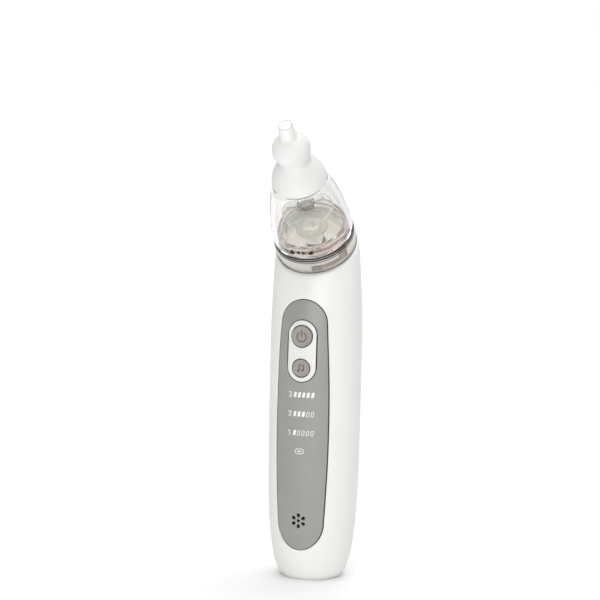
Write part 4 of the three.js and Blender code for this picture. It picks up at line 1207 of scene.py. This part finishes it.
def skirt_lines():
    """Painted shade: thin dark rings let into the outside of the clear skirt, for the dark lines at its
    edges and grooves.
    """
    line_shades = {"black": black_print_and_shade, "grey": grey_painted_shade}
    for number, line in enumerate(SKIRT_LINES, start=1):
        low, high = line["height"] - line["width"] / 2, line["height"] + line["width"] / 2
        outer, inner = CUP_RADIUS + 0.04, CUP_RADIUS - 0.25
        section = [(inner, low), (outer, low), (outer, high), (inner, high)]
        ring = turned_object(f"skirt_line_{number}", section, 144, TO_CUP)
        finish_piece(ring, "cup", line_shades[line["tone"]])


def dome_seal():
    """Soft ring in the groove of the spigot, which the dome slides over."""
    thickness = DOME_SEAL["thickness"]
    section = ellipse((DOME_SEAL["radius"], DOME_SEAL["height"]), thickness, thickness)
    ring = turned_object("clear_seal_ring", section, 144, TO_CUP)
    finish_piece(ring, "cup", seal_silicone, ["dome_seal"])


def cup_dome():
    """Clear dome with a ledge under the tip's bell and a tube down its middle for the drips."""
    steps = 24
    side = []
    for i in range(steps + 1):
        height = DOME_BOTTOM + 0.3 + (LEDGE_HEIGHT - 0.4 - DOME_BOTTOM) * i / steps
        side.append((dome_radius(height), height))
    inner = [(radius - CUP_WALL - 0.15, height) for radius, height in side[:-3]]
    edge_in = CUP_RADIUS - CUP_WALL - 0.15
    outline = rounded([
        (inner[0][0], DOME_BOTTOM, 0),
        (edge_in, DOME_BOTTOM, 0),
        (CUP_RADIUS - 0.25, DOME_BOTTOM, 0),
    ]) + side + rounded([
        (side[-1][0], side[-1][1], 0),
        (side[-1][0] - 0.3, LEDGE_HEIGHT, 0.2),
        (9.8, LEDGE_HEIGHT, 0.3),
        (9.8, 42, 1.2),
        (8.2, 44.6, 1.5),
        (TUBE["upper"], 46, 1.2),
        (TUBE["upper"], TUBE["top"], 0.5),
        (TUBE["bore"], TUBE["top"], 0.3),
        (TUBE["bore"], TUBE["foot"], 0.2),
        (TUBE["lower"], TUBE["foot"], 0.2),
        (TUBE["lower"], 42.4, 0.8),
        (7.4, 42.2, 1.2),
        (8.4, 39.5, 1.2),
        (10.4, 37.4, 0.8),
        inner[-1] + (0,),
    ]) + [Vector(point) for point in reversed(inner[1:-1])]
    unique = [Vector(outline[0])]
    for point in outline[1:]:
        if (Vector(point) - unique[-1]).length > 1e-4:
            unique.append(Vector(point))
    dome = turned_object("clear_cup_dome", unique, 144, TO_CUP, 40)
    finish_piece(dome, "dome", clear_cup, ["cup_dome"])


def drip_baffle():
    """Umbrella on the end of the tube: a shallow cap with a slotted sleeve and ribs under it."""
    radius, sleeve, bore = BAFFLE["radius"], BAFFLE["sleeve"], BAFFLE["bore"]
    crown, top = BAFFLE["crown"], BAFFLE["top"]
    outline = rounded([
        (0, 23.3, 0),
        (sleeve, 23.3, 1),
        (radius, 22.2, 0.5),
        (radius, 23.4, 0.5),
        (sleeve, crown, 0.8),
        (sleeve, top, 0.3),
        (bore, top, 0.2),
        (bore, crown, 0.2),
        (0, crown, 0),
    ])
    baffle = turned_object("clear_baffle", outline, 128, TO_CUP)
    for wide, deep in ((5, 0.5), (0.5, 5)):
        carve(baffle, [block((-wide, -deep, 24.6), (wide, deep, 25.6), TO_CUP)])
    ribs = []
    count, half = BAFFLE_RIBS["count"], BAFFLE_RIBS["half_width"]
    for i in range(count):
        turn = Matrix.Rotation(math.radians(360 / count * i), 4, "Z")
        far = (BAFFLE_RIBS["reach"], half, BAFFLE_RIBS["high"])
        ribs.append(block((0, -half, BAFFLE_RIBS["low"]), far, TO_CUP @ turn))
    for first in (0, 1):
        carve(baffle, ribs[first::2], "UNION")
    paint(baffle, baffle_haze, smoke_clear, lambda spot: (
        spot.z > crown + 0.1 and spot.xy.length > 3.7
    ))
    finish_piece(baffle, "dome", baffle_haze, ["drip_baffle"])


BELL = {"edge": 39.4, "centre": 38.4, "radius": 12.0, "height": 14.6}
BALL = {"centre": 57.1, "radius": 8.25, "height": 7.45}
WAIST = {"height": 51.4, "radius": 6.6}
TIP = {"top": 70.6, "radius": 3.05, "root": 63.6, "bore": 2.4}


def bulge(shape, shrink, low, high, steps):
    """Side of an ellipse of revolution between two heights, made smaller by shrink."""
    points = []
    for i in range(steps + 1):
        height = low + (high - low) * i / steps
        offset = (height - shape["centre"]) / (shape["height"] - shrink)
        points.append(((shape["radius"] - shrink) * math.sqrt(1 - offset ** 2), height, 0))
    return points


def silicone_tip():
    """Bell that grips the dome, a soft ball above it and a short spout with an open bore."""
    thick = 1.35
    outside = [
        (BELL["radius"] - 0.9, BELL["edge"], 0.3),
        (BELL["radius"] + 0.02, BELL["edge"], 0.8),
        *bulge(BELL, 0, BELL["edge"] + 1.2, WAIST["height"] - 1.6, 16),
        (WAIST["radius"], WAIST["height"], 0.9),
        *bulge(BALL, 0, WAIST["height"] + 1.4, TIP["root"] - 0.8, 22),
        (3.5, TIP["root"] + 0.2, 0.9),
        (TIP["radius"] + 0.1, TIP["top"], 0.18),
    ]
    inside = [
        (TIP["bore"] + 0.3, TIP["top"], 0.12),
        (TIP["bore"], TIP["top"] - 2, 0.5),
        (TIP["bore"], TIP["root"] - 1, 0.3),
        *bulge(BALL, thick, TIP["root"] - 1.6, WAIST["height"] + 1.6, 12),
        (WAIST["radius"] - thick, WAIST["height"], 0.6),
        *bulge(BELL, thick, WAIST["height"] - 2, BELL["edge"] + 0.6, 10),
    ]
    corners = outside + inside
    outline = rounded([corners[-1], *corners, corners[0]])[1:-1]
    tip = turned_object("nose_tip", outline, 144, TO_CUP, 60)
    # Painted light and shade: the bore glows, and the spout's wall and rim are painted darker than the
    # ball
    paint(tip, frosted, glowing_silicone, lambda spot: (
        spot.z > TIP["root"] and spot.xy.length < TIP["bore"] + 0.25
    ))
    paint(tip, frosted, spout_shaded_silicone, lambda spot: (
        TIP["root"] + 0.2 < spot.z <= TIP["top"] - 0.3 and spot.xy.length > TIP["bore"] + 0.25
    ))
    paint(tip, frosted, rim_shaded_silicone, lambda spot: (
        spot.z > TIP["top"] - 0.3 and spot.xy.length > TIP["bore"] + 0.1
    ))
    finish_piece(tip, "tip", frosted, ["silicone_tip"])


# ---- Rear details ----

SCREW = {"head_radius": 2, "head": 1.4, "shank_radius": 0.95, "shank": 10.2, "end": 11.4}
CROSS_SLOT = {"long": 1.25, "narrow": 0.22, "depth": 0.8}


def shell_screws():
    """Cross-head screws in the rear shell."""
    top = -SCREW_SEAT_Y - GAP - SCREW["head"]
    seat, end = top + SCREW["head"], top + SCREW["end"]
    wide, thin = SCREW["head_radius"], SCREW["shank_radius"]
    outline = rounded([
        (0, top, 0), (wide, top, 0.5), (wide, seat, 0.1), (thin, seat, 0.1),
        (thin, top + SCREW["shank"], 0.2), (0.3, end, 0.1), (0, end, 0),
    ])
    long, narrow = CROSS_SLOT["long"], CROSS_SLOT["narrow"]
    for number, (x, z) in enumerate(SHELL_SCREWS, start=1):
        place = facing_front(z, x)
        screw = turned_object(f"case_screw_{number}", outline, 40, place)
        for across, along in ((long, narrow), (narrow, long)):
            far = (across, along, top + CROSS_SLOT["depth"])
            carve(screw, [block((-across, -along, top - 1), far, place)])
        finish_piece(screw, "handle", zinc, [f"shell_screw_{number}"])


# ---- Assembly ----

body = hollow_body()
front_shell(body)
rear_shell(body)
bpy.data.objects.remove(body)
panel_gap_shade()
control_panel()
button_bezel()
push_button("power_key", POWER, power_symbol, no_heads, "power_button", "power_button")
push_button("music_key", MUSIC, note_symbol, note_heads, "music_button", "music_button")
level_marks()
charge_mark()
bayonet_neck()
port_seal()
cup_base()
air_column()
skirt_lines()
dome_seal()
cup_dome()
drip_baffle()
silicone_tip()
band_marks()
shell_screws()

for row in frame["record"]["subparts"]:
    node = frame["nodes"][row["node"]]
    node.data.materials.clear()
    node.data.materials.append(SLOT_MATERIALS[row["material_slot"]])


# ---- Stage, lights and camera ----

def floor():
    bm = bmesh.new()
    bmesh.ops.create_circle(bm, cap_ends=True, segments=96, radius=12000)
    plane = to_object("studio_floor", bm)
    material, nodes, links, shader = new_material(
        "studio_floor", Specular_IOR_Level=0, Coat_Weight=0.15, Coat_Roughness=0.08,
    )
    speckle = noise(nodes, links, 40, 3)
    light = linear(254, 254, 254)
    links.new(ramp_colour(nodes, links, speckle, darker(light, 0.01), light), shader.inputs["Base Color"])
    links.new(ramp_value(nodes, links, speckle, 0.16, 0.2), shader.inputs["Roughness"])
    plane.data.materials.append(material)


SKY_BASE = 0.06
SOFT_BOXES = [
    {"aim": (0, 0, 1), "inner": 10, "outer": 38, "strength": 3.3},
    {"aim": (0.24, -1, 0.3), "inner": 5, "outer": 25, "strength": 5.9},
    {"aim": (0.1, 1, 0.4), "inner": 35, "outer": 60, "strength": 0.8},
]
# Light that clear plastic passes on: wide and even, with a darker band at both sides, which
# draws the outlines of the clear pieces
CLEAR_SKY_BASE = 0.45
CLEAR_SKY_BOXES = [
    {"aim": (0, 0, 1), "inner": 25, "outer": 70, "strength": 1.5},
    {"aim": (0.3, -1, 0.3), "inner": 30, "outer": 70, "strength": 1.5},
    {"aim": (-0.3, 1, 0.2), "inner": 30, "outer": 60, "strength": 0.5},
]


def soft_box(nodes, links, direction, box):
    """Brightness of a round soft light in the sky, fading out between two angles from its aim."""
    facing = add_node(nodes, "VectorMath")
    facing.operation = "DOT_PRODUCT"
    facing.inputs[1].default_value = Vector(box["aim"]).normalized()
    links.new(direction, facing.inputs[0])
    outer, inner = math.cos(math.radians(box["outer"])), math.cos(math.radians(box["inner"]))
    fade = add_node(nodes, "MapRange", From_Min=outer, From_Max=inner, To_Max=box["strength"])
    fade.interpolation_type = "SMOOTHSTEP"
    links.new(facing.outputs["Value"], fade.inputs["Value"])
    return fade.outputs["Result"]


def sky_light(nodes, links, base, boxes):
    """Background shader whose strength is an even base with soft boxes added to it."""
    direction = add_node(nodes, "TexCoord").outputs["Generated"]
    total = add_node(nodes, "Value").outputs["Value"]
    total.default_value = base
    for box in boxes:
        add = add_node(nodes, "Math")
        links.new(total, add.inputs[0])
        links.new(soft_box(nodes, links, direction, box), add.inputs[1])
        total = add.outputs["Value"]
    light = add_node(nodes, "Background", Color=(1, 1, 1, 1))
    links.new(total, light.inputs["Strength"])
    return light.outputs["Background"]


def mixed(nodes, links, factor, off, on):
    mix = add_node(nodes, "MixShader")
    links.new(factor, mix.inputs["Fac"])
    links.new(off, mix.inputs[1])
    links.new(on, mix.inputs[2])
    return mix.outputs["Shader"]


def world():
    """White backdrop, an even sky for what clear pieces pass on, and soft boxes for all the rest."""
    sky = bpy.data.worlds.new("studio")
    sky.use_nodes = True
    nodes, links = sky.node_tree.nodes, sky.node_tree.links
    nodes.remove(nodes["Background"])
    path = add_node(nodes, "LightPath").outputs
    lit = sky_light(nodes, links, SKY_BASE, SOFT_BOXES)
    passed = sky_light(nodes, links, CLEAR_SKY_BASE, CLEAR_SKY_BOXES)
    backdrop = sky_light(nodes, links, 1, [])
    shader = mixed(nodes, links, path["Is Transmission Ray"], lit, passed)
    shader = mixed(nodes, links, path["Is Camera Ray"], shader, backdrop)
    links.new(shader, nodes["World Output"].inputs["Surface"])
    bpy.context.scene.world = sky


# Places and distances in millimetres, angles in degrees, focal length in sensor widths
CAMERA = {
    "distance": 1000, "azimuth": 18.55, "height": 236.4,
    "aim_across": -7.67, "aim_height": 122.2, "roll": 1.3, "focal": 3.824,
}


def camera():
    """Camera in front of the handle and a little to its right, looking slightly down."""
    turn = math.radians(CAMERA["azimuth"])
    across = Vector((math.cos(turn), math.sin(turn), 0))
    place = Vector((math.sin(turn), -math.cos(turn), 0)) * CAMERA["distance"]
    place.z = CAMERA["height"]
    aim = across * CAMERA["aim_across"] + Vector((0, 0, CAMERA["aim_height"]))
    data = bpy.data.cameras.new("camera")
    data.sensor_width = 36
    data.lens = CAMERA["focal"] * data.sensor_width
    data.clip_start, data.clip_end = 0.01, 100
    view = bpy.data.objects.new("camera", data)
    view.location = place * MM
    view.rotation_mode = "QUATERNION"
    look = (aim - place).to_track_quat("-Z", "Y")
    roll = Matrix.Rotation(math.radians(CAMERA["roll"]), 3, "Z").to_quaternion()
    view.rotation_quaternion = look @ roll
    bpy.context.scene.collection.objects.link(view)
    bpy.context.scene.camera = view


floor()
world()
camera()
bpy.context.scene.view_settings.view_transform = "Standard"
